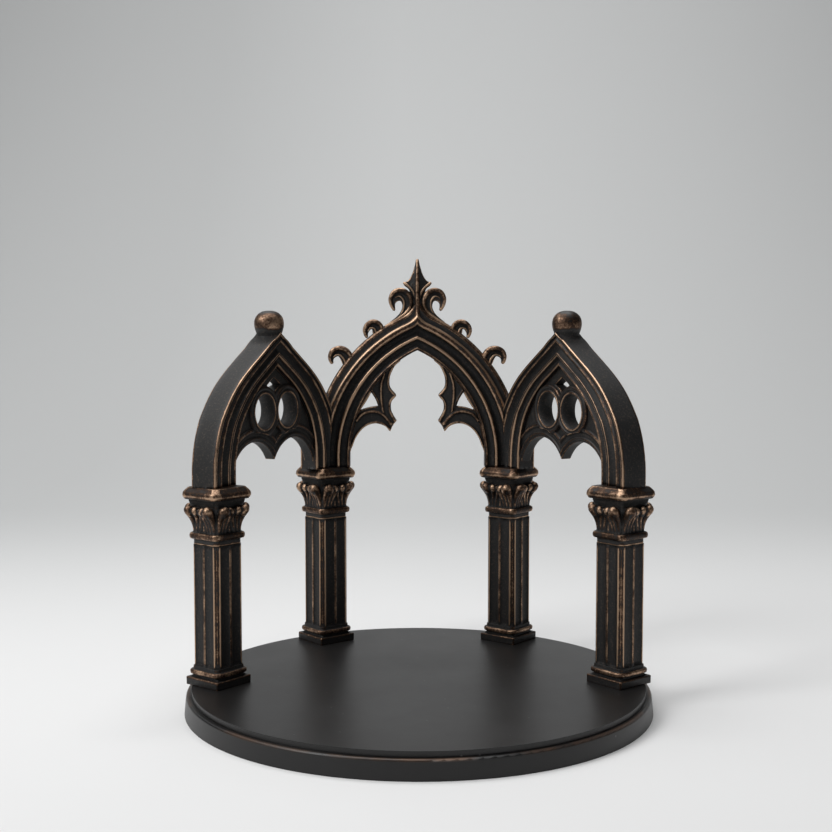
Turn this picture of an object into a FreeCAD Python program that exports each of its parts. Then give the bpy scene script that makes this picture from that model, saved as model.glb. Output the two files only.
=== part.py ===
"""Miniature gothic arcade: four fluted columns and three pointed arches on a round base.

Millimetres, +Z up.  The origin is the centre of the base's underside, the open front faces -Y,
and the columns stand on one circle, named from the left front round to the right front.
"""
import FreeCAD, Part
import math
import os

import Sketcher

SIZES = (
    # base
    ("base_diameter", 100.0, "round base across its foot"),
    ("rim_draft", 0.4, "how far the base's drafted edge leans in"),
    ("ledge_width", 1.15, "ledge round the deck"),
    ("ledge_height", 3.9, "underside to the ledge round the deck"),
    ("base_height", 5.1, "underside to the deck"),
    ("ledge_round", 0.45, "rounding of the ledge's outer edge"),
    # columns
    ("column_inset", 7.05, "column axes in from the foot of the base"),
    ("column_pitch", 62.3, "angle from one column to the next, degrees"),
    ("column_turn", 6.0, "how far each square column is turned from a diamond, degrees"),
    ("plinth_side", 9.85, "square plinth slab"),
    ("plinth_height", 1.75, "plinth slab"),
    ("plinth_round", 0.35, "plinth's upright edges"),
    ("neck_gap", 0.35, "dark groove between slab and roll"),
    ("groove_side", 8.3, "square left inside the groove"),
    ("torus_side", 9.3, "square roll above the plinth"),
    ("torus_height", 2.05, "square roll above the plinth"),
    ("torus_corner", 1.2, "roll's plan corners"),
    ("torus_round", 0.9, "roll's edge"),
    ("shaft_side", 8.0, "square shaft"),
    ("shaft_height", 25.95, "square shaft"),
    ("shaft_chamfer", 0.95, "chamfer leg on the shaft's corners"),
    ("flute_radius", 1.6, "radius of each hollow flute"),
    ("flute_depth", 0.4, "depth of each flute"),
    ("flute_spacing", 2.6, "between the two flutes of one face"),
    ("flute_margin", 1.2, "plain shaft left at each end of a flute"),
    ("collar_height", 1.0, "plain collar under the capital's ring"),
    ("ring_side", 9.1, "square ring at the capital's foot"),
    ("ring_height", 1.8, "square ring at the capital's foot"),
    ("ring_corner", 1.0, "capital ring's plan corners"),
    ("bell_foot_side", 7.2, "capital bell where it leaves the ring"),
    ("bell_head_side", 9.4, "capital bell under the abacus"),
    ("bell_height", 6.5, "capital bell"),
    ("volute_diameter", 2.6, "rolled leaf at each corner of the bell"),
    ("volute_height", 2.6, "rolled leaf at each corner of the bell"),
    ("volute_reach", 14.6, "bell measured across two opposite leaves"),
    ("abacus_side", 11.0, "square slab on the capital"),
    ("abacus_height", 2.6, "square slab on the capital"),
    ("abacus_corner", 0.6, "slab's plan corners"),
    ("abacus_round", 1.1, "slab's rounded edge"),
    # arches, heights measured from the top of the abacus
    ("leg_inset", 2.73, "arch span less than the gap between column axes"),
    ("arch_thickness", 6.2, "arch ring, front to back"),
    ("arch_set_out", 0.3, "arches stand outward of the line between the column axes"),
    ("ring_width", 8.7, "arch ring from outer to inner edge"),
    ("springing", 2.5, "where the legs begin to curve"),
    ("band_width", 3.1, "outer band of the moulding"),
    ("bead_place", 5.7, "outer edge to the middle of the bead"),
    ("bead_width", 0.9, "bead of the moulding"),
    ("edge_width", 0.7, "inner edge strip of the moulding"),
    ("hollow_depth", 0.8, "depth of the hollows between the strips"),
    ("drawn_width", 33.0, "clear width of arch that the sizes marked * are drawn for"),
    ("side_clear_rise", 22.5, "side arch's inner line, springing to apex *"),
    ("side_crown_width", 7.4, "side arch ring measured upright at the apex"),
    ("crown_slope", 32.5, "slope of the side arch's straight crown, degrees"),
    ("neck_half_width", 2.6, "side arch's neck under the ball, half its width"),
    ("neck_sweep", 3.0, "radius that leads the crown up into the neck"),
    ("centre_offset", 12.0, "centre arch: its two centres from the middle line *"),
    ("ball_width", 6.7, "ball finial"),
    ("ball_height", 5.3, "ball finial if it were whole"),
    ("ball_shoulder", 2.3, "radius of the ball's side"),
    ("ball_sink", 0.4, "how much of the ball's underside is cut flat"),
    # tracery of the side arches, measured from the springing
    ("tracery_thickness", 3.6, "rims of the eyes"),
    ("plate_thickness", 2.4, "plate between the rims"),
    ("lobe_radius", 9.25, "each of the two lobes under the plate *"),
    ("lobe_drop", 3.2, "lobe centres below the springing *"),
    ("lobe_overlap", 0.35, "how far a lobe runs into the ring *"),
    ("eye_diameter", 7.6, "two round eyes *"),
    ("eye_spacing", 9.2, "between the eyes' centres *"),
    ("eye_gap", 0.4, "eyes' rims clear of the ring's crown *"),
    ("eye_rim", 2.0, "rim round each eye *"),
    ("spandrel_rim", 1.0, "rim over the small light above the eyes *"),
    # cusps of the centre arch, measured from its inner edge and its springing
    ("cusp_thickness", 3.4, "cusped bracket, front to back"),
    ("cusp_reach", 11.1, "bracket's point from the inner edge of the leg *"),
    ("cusp_rise", 8.7, "bracket's point *"),
    ("cusp_tip_reach", 9.6, "lower tip *"),
    ("cusp_tip_rise", 6.0, "lower tip *"),
    ("cusp_lobe_rise", 7.9, "top of the lobe under the bracket *"),
    ("cusp_foot_rise", 1.8, "where the lobe meets the leg *"),
    ("nib_rise", 14.8, "small nib above the point *"),
    ("cusp_waist", 1.3, "hollow between point and nib *"),
    ("cusp_shoulder", 1.5, "hollow between nib and head *"),
    ("cusp_top_angle", 53.0, "bracket's head, angle round the arch, degrees"),
    ("light_rise", 11.6, "foot of the small three-cornered light *"),
    ("light_reach", 2.6, "light's outer corner from the inner edge of the leg *"),
    ("light_width", 3.9, "small three-cornered light *"),
    ("light_height", 3.6, "small three-cornered light *"),
    ("light_tilt", 0.6, "light's foot higher at its inner corner *"),
    ("light_head_share", 0.55, "light's top corner, as a share of its width"),
    # carved pieces on the centre arch
    ("crocket_thickness", 3.6, "crockets, front to back"),
    ("crocket_low_size", 4.6, "lower crocket's height"),
    ("crocket_high_size", 3.7, "upper crocket's height"),
    ("crocket_low_angle", 36.0, "lower crocket, angle round the arch, degrees"),
    ("crocket_high_angle", 52.6, "upper crocket, angle round the arch, degrees"),
    ("crocket_tail", 1.1, "crocket's tail, as a share of its height"),
    ("finial_height", 12.5, "spear finial above the arch"),
    ("finial_thickness", 3.4, "spear finial, front to back"),
    ("finial_saddle", 4.8, "finial's foot, middle to side"),
    # fixings
    ("rod_diameter", 2.0, "tie rod up each column"),
    ("rod_clearance", 0.1, "gap round the rod in the loose pieces"),
    ("rod_seat_gap", 0.02, "gap round the rod in the abacus and round a dowel"),
    ("rod_head_diameter", 3.8, "countersunk head of the rod"),
    ("rod_head_height", 1.2, "countersunk head of the rod"),
    ("rod_seat", 1.8, "rod's thread in the abacus"),
    ("dowel_diameter", 1.2, "dowels between abacus and arch"),
    ("dowel_depth", 1.9, "dowel in the abacus, and the same in the arch"),
    ("dowel_inset", 2.9, "dowels from the column's axis, along the arch"),
    ("peg_side", 1.3, "square peg under each crocket and the spear"),
    ("peg_length", 1.8, "length of every peg"),
    ("peg_diameter", 1.8, "round peg under each ball"),
    ("joint_gap", 0.05, "gap round pegs and between neighbouring castings"),
)

DERIVED = (
    ("ledge_diameter", "=base_diameter - 2 * rim_draft", "base across the top of its edge"),
    ("deck_diameter", "=ledge_diameter - 2 * ledge_width", "raised deck on the base"),
    ("column_circle", "=base_diameter - 2 * column_inset", "circle of the column axes"),
    ("column_span", "=column_circle * sin(column_pitch / 2)", "between neighbouring columns"),
    ("arch_span", "=column_span - leg_inset", "between the centre lines of one arch's legs"),
    ("fit", "=(arch_span - ring_width) / drawn_width", "scale of the sizes marked *"),
    ("side_rise", "=side_clear_rise * fit + side_crown_width", "side arch's outer line"),
)

COLUMNS = ("left_front", "left_rear", "right_rear", "right_front")
ARCHES = ("left", "centre", "right")
FAR = 200.0

doc = FreeCAD.newDocument("arcade")
sheet = doc.addObject("Spreadsheet::Sheet", "Sizes")
for row, (name, value, meaning) in enumerate(SIZES + DERIVED, start=1):
    sheet.set("A%d" % row, name)
    sheet.set("B%d" % row, str(value))
    sheet.set("C%d" % row, meaning)
    sheet.setAlias("B%d" % row, name)
doc.recompute()


def size(name):
    """One dimension, read from the spreadsheet."""
    return float(sheet.get(name))


def fitted(name):
    """A size marked *, scaled to the clear width of the arches."""
    return size(name) * size("fit")


def point(x, y):
    return FreeCAD.Vector(x, y, 0)


# ---- document helpers -------------------------------------------------------------------------

def new_body(label):
    body = doc.addObject("PartDesign::Body", label)
    body.Label = label
    return body


def new_sketch(body, plane, height="0"):
    """A sketch on one of the body's own origin planes, lifted by an expression."""
    sketch = body.newObject("Sketcher::SketchObject", body.Label + "_sketch")
    origin = [item for item in body.Origin.OriginFeatures if item.Role == plane][0]
    sketch.AttachmentSupport = [(origin, "")]
    sketch.MapMode = "FlatFace"
    sketch.setExpression("AttachmentOffset.Base.z", height)
    return sketch


def centred_square(sketch, side):
    """A square about the sketch's origin, its side bound to an expression."""
    corners = [point(-1, -1), point(1, -1), point(1, 1), point(-1, 1)]
    for start, end in zip(corners, corners[1:] + corners[:1]):
        sketch.addGeometry(Part.LineSegment(start, end))
    for edge in range(4):
        sketch.addConstraint(Sketcher.Constraint("Coincident", edge, 2, (edge + 1) % 4, 1))
        level = "Horizontal" if edge % 2 == 0 else "Vertical"
        sketch.addConstraint(Sketcher.Constraint(level, edge))
    sketch.addConstraint(Sketcher.Constraint("Symmetric", 0, 1, 2, 1, -1, 1))
    for edge in (0, 1):
        index = sketch.addConstraint(Sketcher.Constraint("Distance", edge, 2.0))
        sketch.setExpression("Constraints[%d]" % index, side)


def circle(sketch, x, y, diameter):
    """A circle whose diameter is bound to an expression."""
    edge = sketch.addGeometry(Part.Circle(point(x, y), FreeCAD.Vector(0, 0, 1), 1.0))
    index = sketch.addConstraint(Sketcher.Constraint("Diameter", edge, 2.0))
    sketch.setExpression("Constraints[%d]" % index, diameter)
    sketch.addConstraint(Sketcher.Constraint("Block", edge))


def outline(sketch, steps):
    """Edges from a list of ("line", start, end) and ("arc", start, middle, end)."""
    for kind, *places in steps:
        places = [point(*place) for place in places]
        curve = Part.LineSegment(*places) if kind == "line" else Part.Arc(*places)
        sketch.addGeometry(curve)


def pad(body, sketch, length, symmetric=False):
    feature = body.newObject("PartDesign::Pad", body.Label + "_pad")
    feature.Profile = sketch
    feature.setExpression("Length", length)
    feature.SideType = "Symmetric" if symmetric else "One side"
    doc.recompute()
    return feature


def pocket(body, sketch, length, upward=False, symmetric=False):
    """A cut that must take something away."""
    before = body.Shape.Volume
    feature = body.newObject("PartDesign::Pocket", body.Label + "_pocket")
    feature.Profile = sketch
    feature.setExpression("Length", length)
    feature.Reversed = upward
    feature.SideType = "Symmetric" if symmetric else "One side"
    doc.recompute()
    if body.Shape.Volume > before - 1e-3:
        raise RuntimeError("a pocket of %s cuts nothing" % body.Label)
    return feature


def dress(body, kind, amount, chosen):
    """A fillet ("Fillet", Radius) or chamfer ("Chamfer", Size) on the edges that `chosen` picks."""
    base = body.Tip
    edges = ["Edge%d" % (i + 1) for i, edge in enumerate(base.Shape.Edges) if chosen(edge)]
    if not edges:
        raise RuntimeError("no edges to dress on %s" % body.Label)
    feature = body.newObject("PartDesign::" + kind, body.Label + "_" + kind.lower())
    feature.Base = (base, edges)
    feature.setExpression("Radius" if kind == "Fillet" else "Size", amount)
    doc.recompute()
    return feature


def upright(edge):
    return abs(edge.tangentAt(edge.FirstParameter).z) > 0.999 and edge.Length > 0.3


def level_at(height):
    """Picks the level edges at one height."""
    def chosen(edge):
        box = edge.BoundBox
        return abs(box.ZMin - height) < 1e-4 and abs(box.ZMax - height) < 1e-4
    return chosen


# ---- where things stand -----------------------------------------------------------------------

def column_axis(index):
    """Plan position of a column's axis."""
    angle = math.radians(90 - (index - 1.5) * size("column_pitch"))
    radius = size("column_circle") / 2
    return radius * math.cos(angle), radius * math.sin(angle)


def column_rotation(index):
    """A square column stands almost as a diamond, turned a little, one way then the other."""
    return 45 + size("column_turn") * (1 if index % 2 == 0 else -1)


def arch_rotation(index):
    """Direction of an arch, from its left column to its right one."""
    return size("column_pitch") * (1 - index)


def arch_shift(index):
    """Side arches stand square on their front column, so they lean off the middle of the gap."""
    return (index - 1) * (size("column_span") - size("arch_span")) / 2


FOOT_TOP = "(Sizes.plinth_height + Sizes.neck_gap + Sizes.torus_height)"
SHAFT_TOP = "(%s + Sizes.shaft_height)" % FOOT_TOP
CAPITAL_HEIGHT = "(Sizes.collar_height + Sizes.ring_height + Sizes.bell_height + Sizes.neck_gap)"
CAPITAL_TOP = "(%s + %s)" % (SHAFT_TOP, CAPITAL_HEIGHT)
ABACUS_TOP = "(Sizes.base_height + %s + Sizes.abacus_height)" % CAPITAL_TOP


def abacus_top():
    column = ("base_height", "plinth_height", "neck_gap", "torus_height", "shaft_height",
              "collar_height", "ring_height", "bell_height", "neck_gap", "abacus_height")
    return sum(size(name) for name in column)


def stand(body, index, height):
    """Places a column piece over its axis, its foot at the height of an expression."""
    axis = FreeCAD.Vector(*column_axis(index), 0)
    turn = FreeCAD.Rotation(FreeCAD.Vector(0, 0, 1), column_rotation(index))
    body.Placement = FreeCAD.Placement(axis, turn)
    body.setExpression("Placement.Base.z", height)


def in_arch(index, x, z=0.0, turn=0.0):
    """Placement of an arch's own frame: x along the arch, z up from the abacus."""
    left = column_axis(index)
    right = column_axis(index + 1)
    angle = arch_rotation(index)
    along = (math.cos(math.radians(angle)), math.sin(math.radians(angle)))
    moved = x + arch_shift(index)
    out = size("arch_set_out")
    place = FreeCAD.Vector((left[0] + right[0]) / 2 + moved * along[0] - out * along[1],
                           (left[1] + right[1]) / 2 + moved * along[1] + out * along[0],
                           abacus_top() + z)
    plan = FreeCAD.Rotation(FreeCAD.Vector(0, 0, 1), angle)
    lean = FreeCAD.Rotation(FreeCAD.Vector(0, 1, 0), turn)
    return FreeCAD.Placement(place, plan.multiply(lean))


# ---- base and columns -------------------------------------------------------------------------

HEAD_TAPER = "atan((Sizes.rod_head_diameter - Sizes.rod_diameter) / 2 / Sizes.rod_head_height)"


def bolt_circle(sketch, diameter):
    """The circle over the first column's axis, on the base."""
    circle(sketch, *column_axis(0), diameter)


def spread_to_columns(body, features):
    pattern = body.newObject("PartDesign::PolarPattern", body.Label + "_pattern")
    pattern.Originals = features
    axis = [item for item in body.Origin.OriginFeatures if item.Role == "Z_Axis"][0]
    pattern.Axis = (axis, [""])
    pattern.Reversed = True
    pattern.Occurrences = len(COLUMNS)
    pattern.setExpression("Angle", "Sizes.column_pitch * %d" % (len(COLUMNS) - 1))
    body.Tip = pattern
    doc.recompute()


def make_base():
    """Drafted disc with a raised deck, and four countersunk holes from below."""
    body = new_body("base_plate")
    foot = size("base_diameter") / 2
    ledge = size("ledge_diameter") / 2
    deck = size("deck_diameter") / 2
    step = size("ledge_height")
    top = size("base_height")
    sketch = new_sketch(body, "XZ_Plane")
    corners = ((0, 0), (foot, 0), (ledge, step), (deck, step), (deck, top), (0, top))
    outline(sketch, [("line", a, b) for a, b in zip(corners, corners[1:] + corners[:1])])
    turned = body.newObject("PartDesign::Revolution", "base_plate_turned")
    turned.Profile = sketch
    turned.ReferenceAxis = (sketch, ["V_Axis"])
    turned.Angle = 360
    doc.recompute()

    def ledge_edge(edge):
        return level_at(step)(edge) and edge.BoundBox.XMax > (ledge + deck) / 2
    dress(body, "Fillet", "Sizes.ledge_round", ledge_edge)

    shank = new_sketch(body, "XY_Plane")
    bolt_circle(shank, "Sizes.rod_diameter + 2 * Sizes.rod_clearance")
    through = pocket(body, shank, "Sizes.base_height + 1", upward=True)
    head = new_sketch(body, "XY_Plane")
    bolt_circle(head, "Sizes.rod_head_diameter + 2 * Sizes.rod_clearance")
    sink = pocket(body, head, "Sizes.rod_head_height", upward=True)
    sink.setExpression("TaperAngle", "-" + HEAD_TAPER)
    doc.recompute()
    spread_to_columns(body, [through, sink])


def rod_hole(body, length):
    """The hole up the middle of a column piece."""
    sketch = new_sketch(body, "XY_Plane")
    circle(sketch, 0, 0, "Sizes.rod_diameter + 2 * Sizes.rod_clearance")
    pocket(body, sketch, length, upward=True)


def square_block(body, side, height, foot="0"):
    sketch = new_sketch(body, "XY_Plane", foot)
    centred_square(sketch, side)
    return pad(body, sketch, height)


def make_foot(index):
    """Plinth slab, groove and square roll."""
    body = new_body("foot_" + COLUMNS[index])
    square_block(body, "Sizes.plinth_side", "Sizes.plinth_height")
    dress(body, "Fillet", "Sizes.plinth_round", upright)
    groove = "Sizes.plinth_height"
    square_block(body, "Sizes.groove_side", "Sizes.neck_gap + 0.2", groove)
    roll = "Sizes.plinth_height + Sizes.neck_gap"
    square_block(body, "Sizes.torus_side", "Sizes.torus_height", roll)
    roll_foot = size("plinth_height") + size("neck_gap")
    roll_top = roll_foot + size("torus_height")

    def roll_corner(edge):
        return upright(edge) and edge.BoundBox.ZMax > roll_top - 0.01
    dress(body, "Fillet", "Sizes.torus_corner", roll_corner)
    dress(body, "Fillet", "Sizes.torus_round", level_at(roll_top))
    rod_hole(body, FOOT_TOP + " + 1")
    stand(body, index, "Sizes.base_height")


def make_shaft(index):
    """Square shaft with chamfered corners and two hollow flutes on each face."""
    body = new_body("shaft_" + COLUMNS[index])
    square_block(body, "Sizes.shaft_side", "Sizes.shaft_height")
    dress(body, "Chamfer", "Sizes.shaft_chamfer", upright)
    flutes = new_sketch(body, "XY_Plane", "Sizes.flute_margin")
    out = size("shaft_side") / 2 - size("flute_depth") + size("flute_radius")
    side = size("flute_spacing") / 2
    for face in range(4):
        turn = math.radians(90 * face)
        for across in (-side, side):
            x = out * math.cos(turn) - across * math.sin(turn)
            y = out * math.sin(turn) + across * math.cos(turn)
            circle(flutes, x, y, "2 * Sizes.flute_radius")
    pocket(body, flutes, "Sizes.shaft_height - 2 * Sizes.flute_margin", upward=True)
    rod_hole(body, "Sizes.shaft_height + 1")
    stand(body, index, "Sizes.base_height + " + FOOT_TOP)


def make_capital(index):
    """Collar, square ring, flared bell with a rolled leaf at each corner, and a thin neck."""
    body = new_body("capital_" + COLUMNS[index])
    square_block(body, "Sizes.shaft_side - 2 * Sizes.flute_depth", "Sizes.collar_height + 0.1")
    dress(body, "Chamfer", "Sizes.shaft_chamfer", upright)
    square_block(body, "Sizes.ring_side", "Sizes.ring_height", "Sizes.collar_height")
    ring_top = size("collar_height") + size("ring_height")

    def ring_corner(edge):
        return upright(edge) and edge.BoundBox.ZMax > ring_top - 0.01
    dress(body, "Fillet", "Sizes.ring_corner", ring_corner)
    dress(body, "Fillet", "Sizes.ring_height * 0.4", level_at(ring_top))

    bell_foot = "Sizes.collar_height + Sizes.ring_height"
    low = new_sketch(body, "XY_Plane", bell_foot)
    centred_square(low, "Sizes.bell_foot_side")
    middle = new_sketch(body, "XY_Plane", bell_foot + " + Sizes.bell_height * 0.6")
    waist = "Sizes.bell_foot_side * 0.7 + Sizes.bell_head_side * 0.3"
    centred_square(middle, waist)
    high = new_sketch(body, "XY_Plane", bell_foot + " + Sizes.bell_height")
    centred_square(high, "Sizes.bell_head_side")
    bell = body.newObject("PartDesign::AdditiveLoft", body.Label + "_bell")
    bell.Profile = low
    bell.Sections = [middle, high]
    doc.recompute()

    leaves = new_sketch(body, "XY_Plane", bell_foot + " + Sizes.bell_height - Sizes.volute_height")
    reach = (size("volute_reach") - size("volute_diameter")) / 2
    for corner in range(4):
        turn = math.radians(45 + 90 * corner)
        circle(leaves, reach * math.cos(turn), reach * math.sin(turn), "Sizes.volute_diameter")
    pad(body, leaves, "Sizes.volute_height - Sizes.neck_gap")
    neck = bell_foot + " + Sizes.bell_height - 0.1"
    square_block(body, "Sizes.bell_foot_side", "Sizes.neck_gap + 0.1", neck)
    rod_hole(body, CAPITAL_HEIGHT + " + 1")
    stand(body, index, "Sizes.base_height + " + SHAFT_TOP)


def dowel_places(index):
    """Plan positions of a column's dowels, from its axis: one under each arch that it carries."""
    places = []
    for arch, sense in ((index - 1, -1), (index, 1)):
        if 0 <= arch < len(ARCHES):
            angle = math.radians(arch_rotation(arch))
            inset = sense * size("dowel_inset")
            out = size("arch_set_out")
            places.append((inset * math.cos(angle) - out * math.sin(angle),
                           inset * math.sin(angle) + out * math.cos(angle)))
    return places


def make_abacus(index):
    """Round-edged slab: threaded for the rod below, with dowel holes above."""
    body = new_body("abacus_" + COLUMNS[index])
    square_block(body, "Sizes.abacus_side", "Sizes.abacus_height")
    dress(body, "Fillet", "Sizes.abacus_corner", upright)
    dress(body, "Fillet", "Sizes.abacus_round", level_at(size("abacus_height")))
    dress(body, "Fillet", "Sizes.abacus_round", level_at(0.0))
    thread = new_sketch(body, "XY_Plane")
    circle(thread, 0, 0, "Sizes.rod_diameter + 2 * Sizes.rod_seat_gap")
    pocket(body, thread, "Sizes.rod_seat + Sizes.rod_clearance", upward=True)
    holes = new_sketch(body, "XY_Plane", "Sizes.abacus_height")
    turn = math.radians(-column_rotation(index))
    for x, y in dowel_places(index):
        circle(holes, x * math.cos(turn) - y * math.sin(turn),
               x * math.sin(turn) + y * math.cos(turn),
               "Sizes.dowel_diameter + 2 * Sizes.rod_seat_gap")
    pocket(body, holes, "Sizes.dowel_depth + Sizes.joint_gap")
    stand(body, index, "Sizes.base_height + " + CAPITAL_TOP)


# ---- lines of the arches ----------------------------------------------------------------------
# Each line runs from the right leg's foot to the apex, in the arch's own x and z, at a distance
# `inside` from the ring's outer line.

def outer_half_width():
    return (size("arch_span") + size("ring_width")) / 2


def side_line(inside):
    """Leg, round haunch and straight crown of a side arch."""
    slope = math.radians(size("crown_slope"))
    start = size("springing")
    width = outer_half_width() - inside
    crown = size("side_rise") - inside * size("side_crown_width") / size("ring_width")
    radius = (crown * math.cos(slope) - width * math.sin(slope)) / (1 - math.sin(slope))
    centre = width - radius

    def on_haunch(angle):
        return centre + radius * math.cos(angle), start + radius * math.sin(angle)
    end = math.pi / 2 - slope
    return [("line", (width, 0), (width, start)),
            ("arc", (width, start), on_haunch(end / 2), on_haunch(end)),
            ("line", on_haunch(end), (0, start + crown))]


def centre_radius(inside):
    return outer_half_width() - inside + fitted("centre_offset")


def centre_point(inside, angle):
    """A point of the centre arch at an angle (degrees) round its right-hand curve."""
    radius = centre_radius(inside)
    return (radius * math.cos(math.radians(angle)) - fitted("centre_offset"),
            radius * math.sin(math.radians(angle)) + size("springing"))


def apex_angle(inside):
    return math.degrees(math.acos(fitted("centre_offset") / centre_radius(inside)))


def centre_line(inside):
    """Leg and one long curve of the centre arch."""
    width = outer_half_width() - inside
    top = apex_angle(inside)
    start = centre_point(inside, 0)
    end = (0.0, centre_point(inside, top)[1])
    return [("line", (width, 0), start),
            ("arc", start, centre_point(inside, top / 2), end)]


def arch_line(index, inside):
    return centre_line(inside) if index == 1 else side_line(inside)


def mirrored(steps):
    """The same edges on the left, run the other way."""
    turned = []
    for kind, *places in reversed(steps):
        turned.append((kind, *[(-x, z) for x, z in reversed(places)]))
    return turned


def reverse(steps):
    return [(kind, *reversed(places)) for kind, *places in reversed(steps)]


def strip(outer, inner):
    """Closed outline between two lines of one arch."""
    out = outer + mirrored(outer)
    back = reverse(inner + mirrored(inner))
    return (out + [("line", out[-1][-1], back[0][1])] + back
            + [("line", back[-1][-1], out[0][1])])


def with_neck(steps):
    """Swaps the tip of a side arch's outer line for the swept neck under its ball."""
    slope = math.radians(size("crown_slope"))
    half = size("neck_half_width")
    sweep = size("neck_sweep")
    begin = steps[-1][1]
    apex = steps[-1][2]
    corner = (half, apex[1] - half * math.tan(slope))
    reach = sweep * math.tan((math.pi / 2 - slope) / 2)
    low = (corner[0] + reach * math.cos(slope), corner[1] - reach * math.sin(slope))
    high = (half, corner[1] + reach)
    centre = (half + sweep, high[1])
    middle = math.pi + (math.pi / 2 - slope) / 2
    between = (centre[0] + sweep * math.cos(middle), centre[1] + sweep * math.sin(middle))
    return steps[:-1] + [("line", begin, low), ("arc", low, between, high),
                         ("line", high, (0, high[1]))]


def neck_top():
    return with_neck(side_line(0))[-1][-1][1]


# ---- arches -----------------------------------------------------------------------------------

def mitre(body, index):
    """Cuts a ring where it meets its neighbour over a rear column."""
    lean = math.tan(math.radians(size("column_pitch") / 2))
    side = size("arch_thickness")
    for end, neighbour in ((-1, index - 1), (1, index + 1)):
        if not 0 <= neighbour < len(ARCHES):
            continue
        axis = end * size("column_span") / 2 - arch_shift(index)
        face = axis - end * size("joint_gap") / 2
        out = size("arch_set_out")
        near = [(face + end * (y + out) * lean, y) for y in (-side, side)]
        corners = near + [(axis + end * FAR, side), (axis + end * FAR, -side)]
        sketch = new_sketch(body, "XY_Plane")
        outline(sketch, [("line", a, b) for a, b in zip(corners, corners[1:] + corners[:1])])
        pocket(body, sketch, str(2 * FAR), symmetric=True)


def leg_dowels(index):
    """Where an arch's dowels are, along it."""
    half = size("column_span") / 2
    shift = arch_shift(index)
    return [-half - shift + size("dowel_inset"), half - shift - size("dowel_inset")]


def crocket_places():
    """Angle and size names of the centre arch's crockets, per side."""
    return (("low", "crocket_low_angle", "crocket_low_size"),
            ("high", "crocket_high_angle", "crocket_high_size"))


def peg_hole(body, x, z, angle):
    """A square blind hole in the ring's outer face for a peg that points to (x, z)."""
    half = size("peg_side") / 2 + size("joint_gap")
    deep = size("peg_length") + size("joint_gap")
    out = (math.cos(math.radians(angle)), math.sin(math.radians(angle)))
    corners = []
    for across, along in ((-half, -deep), (half, -deep), (half, 1.0), (-half, 1.0)):
        corners.append((x - across * out[1] + along * out[0], z + across * out[0] + along * out[1]))
    sketch = new_sketch(body, "XZ_Plane")
    outline(sketch, [("line", a, b) for a, b in zip(corners, corners[1:] + corners[:1])])
    pocket(body, sketch, "Sizes.peg_side + 2 * Sizes.joint_gap", symmetric=True)


def make_arch(index):
    """Pointed ring: a plate with raised band, bead and edge on both faces."""
    body = new_body(ARCHES[index] + "_arch")
    outer = arch_line(index, 0)
    full = size("ring_width")
    core = new_sketch(body, "XZ_Plane")
    rim = outer if index == 1 else with_neck(outer)
    outline(core, strip(rim, arch_line(index, full)))
    pad(body, core, "Sizes.arch_thickness - 2 * Sizes.hollow_depth", symmetric=True)
    bead = size("bead_place")
    half = size("bead_width") / 2
    for start, end in ((0, size("band_width")), (bead - half, bead + half),
                       (full - size("edge_width"), full)):
        raised = new_sketch(body, "XZ_Plane")
        first = rim if start == 0 else arch_line(index, start)
        outline(raised, strip(first, arch_line(index, end)))
        pad(body, raised, "Sizes.arch_thickness", symmetric=True)
    mitre(body, index)
    holes = new_sketch(body, "XY_Plane")
    for x in leg_dowels(index):
        circle(holes, x, 0, "Sizes.dowel_diameter + 2 * Sizes.rod_seat_gap")
    pocket(body, holes, "Sizes.dowel_depth + Sizes.joint_gap", upward=True)
    if index == 1:
        for _, angle_name, _ in crocket_places():
            angle = size(angle_name)
            x, z = centre_point(0, angle)
            peg_hole(body, x, z, angle)
            peg_hole(body, -x, z, 180 - angle)
        peg_hole(body, 0, finial_foot(), 90)
    else:
        seat = new_sketch(body, "XY_Plane", str(neck_top()))
        circle(seat, 0, 0, "Sizes.peg_diameter + 2 * Sizes.joint_gap")
        pocket(body, seat, "Sizes.peg_length + Sizes.joint_gap")
    body.Placement = in_arch(index, 0)


def finial_foot():
    """Height of the centre ring's outer apex above the abacus."""
    return centre_point(0, apex_angle(0))[1]


def make_ball(index):
    """Flattened ball on a round peg: a tight shoulder arc that runs into a broader crown arc."""
    body = new_body(ARCHES[index] + "_ball_finial")
    wide = size("ball_width") / 2
    tall = size("ball_height") / 2
    shoulder = size("ball_shoulder")
    middle = tall - size("ball_sink")
    inset = wide - shoulder
    crown = (tall ** 2 + inset ** 2 - shoulder ** 2) / (2 * (tall - shoulder))
    top = middle + tall
    lean = math.atan2(middle - (top - crown), inset)

    def on_shoulder(angle):
        return inset + shoulder * math.cos(angle), middle + shoulder * math.sin(angle)

    def on_crown(angle):
        return crown * math.cos(angle), top - crown + crown * math.sin(angle)
    foot = on_shoulder(-math.asin(middle / shoulder))
    peg = size("peg_diameter") / 2
    deep = -size("peg_length")
    corners = ((0, top), (0, deep), (peg, deep), (peg, 0), foot)
    steps = [("line", a, b) for a, b in zip(corners, corners[1:])]
    steps.append(("arc", foot, on_shoulder(0), on_shoulder(lean)))
    steps.append(("arc", on_shoulder(lean), on_crown((lean + math.pi / 2) / 2), (0, top)))
    sketch = new_sketch(body, "XZ_Plane")
    outline(sketch, steps)
    turned = body.newObject("PartDesign::Revolution", body.Label + "_turned")
    turned.Profile = sketch
    turned.ReferenceAxis = (sketch, ["V_Axis"])
    turned.Angle = 360
    doc.recompute()
    body.Placement = in_arch(index, 0, neck_top())


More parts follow.
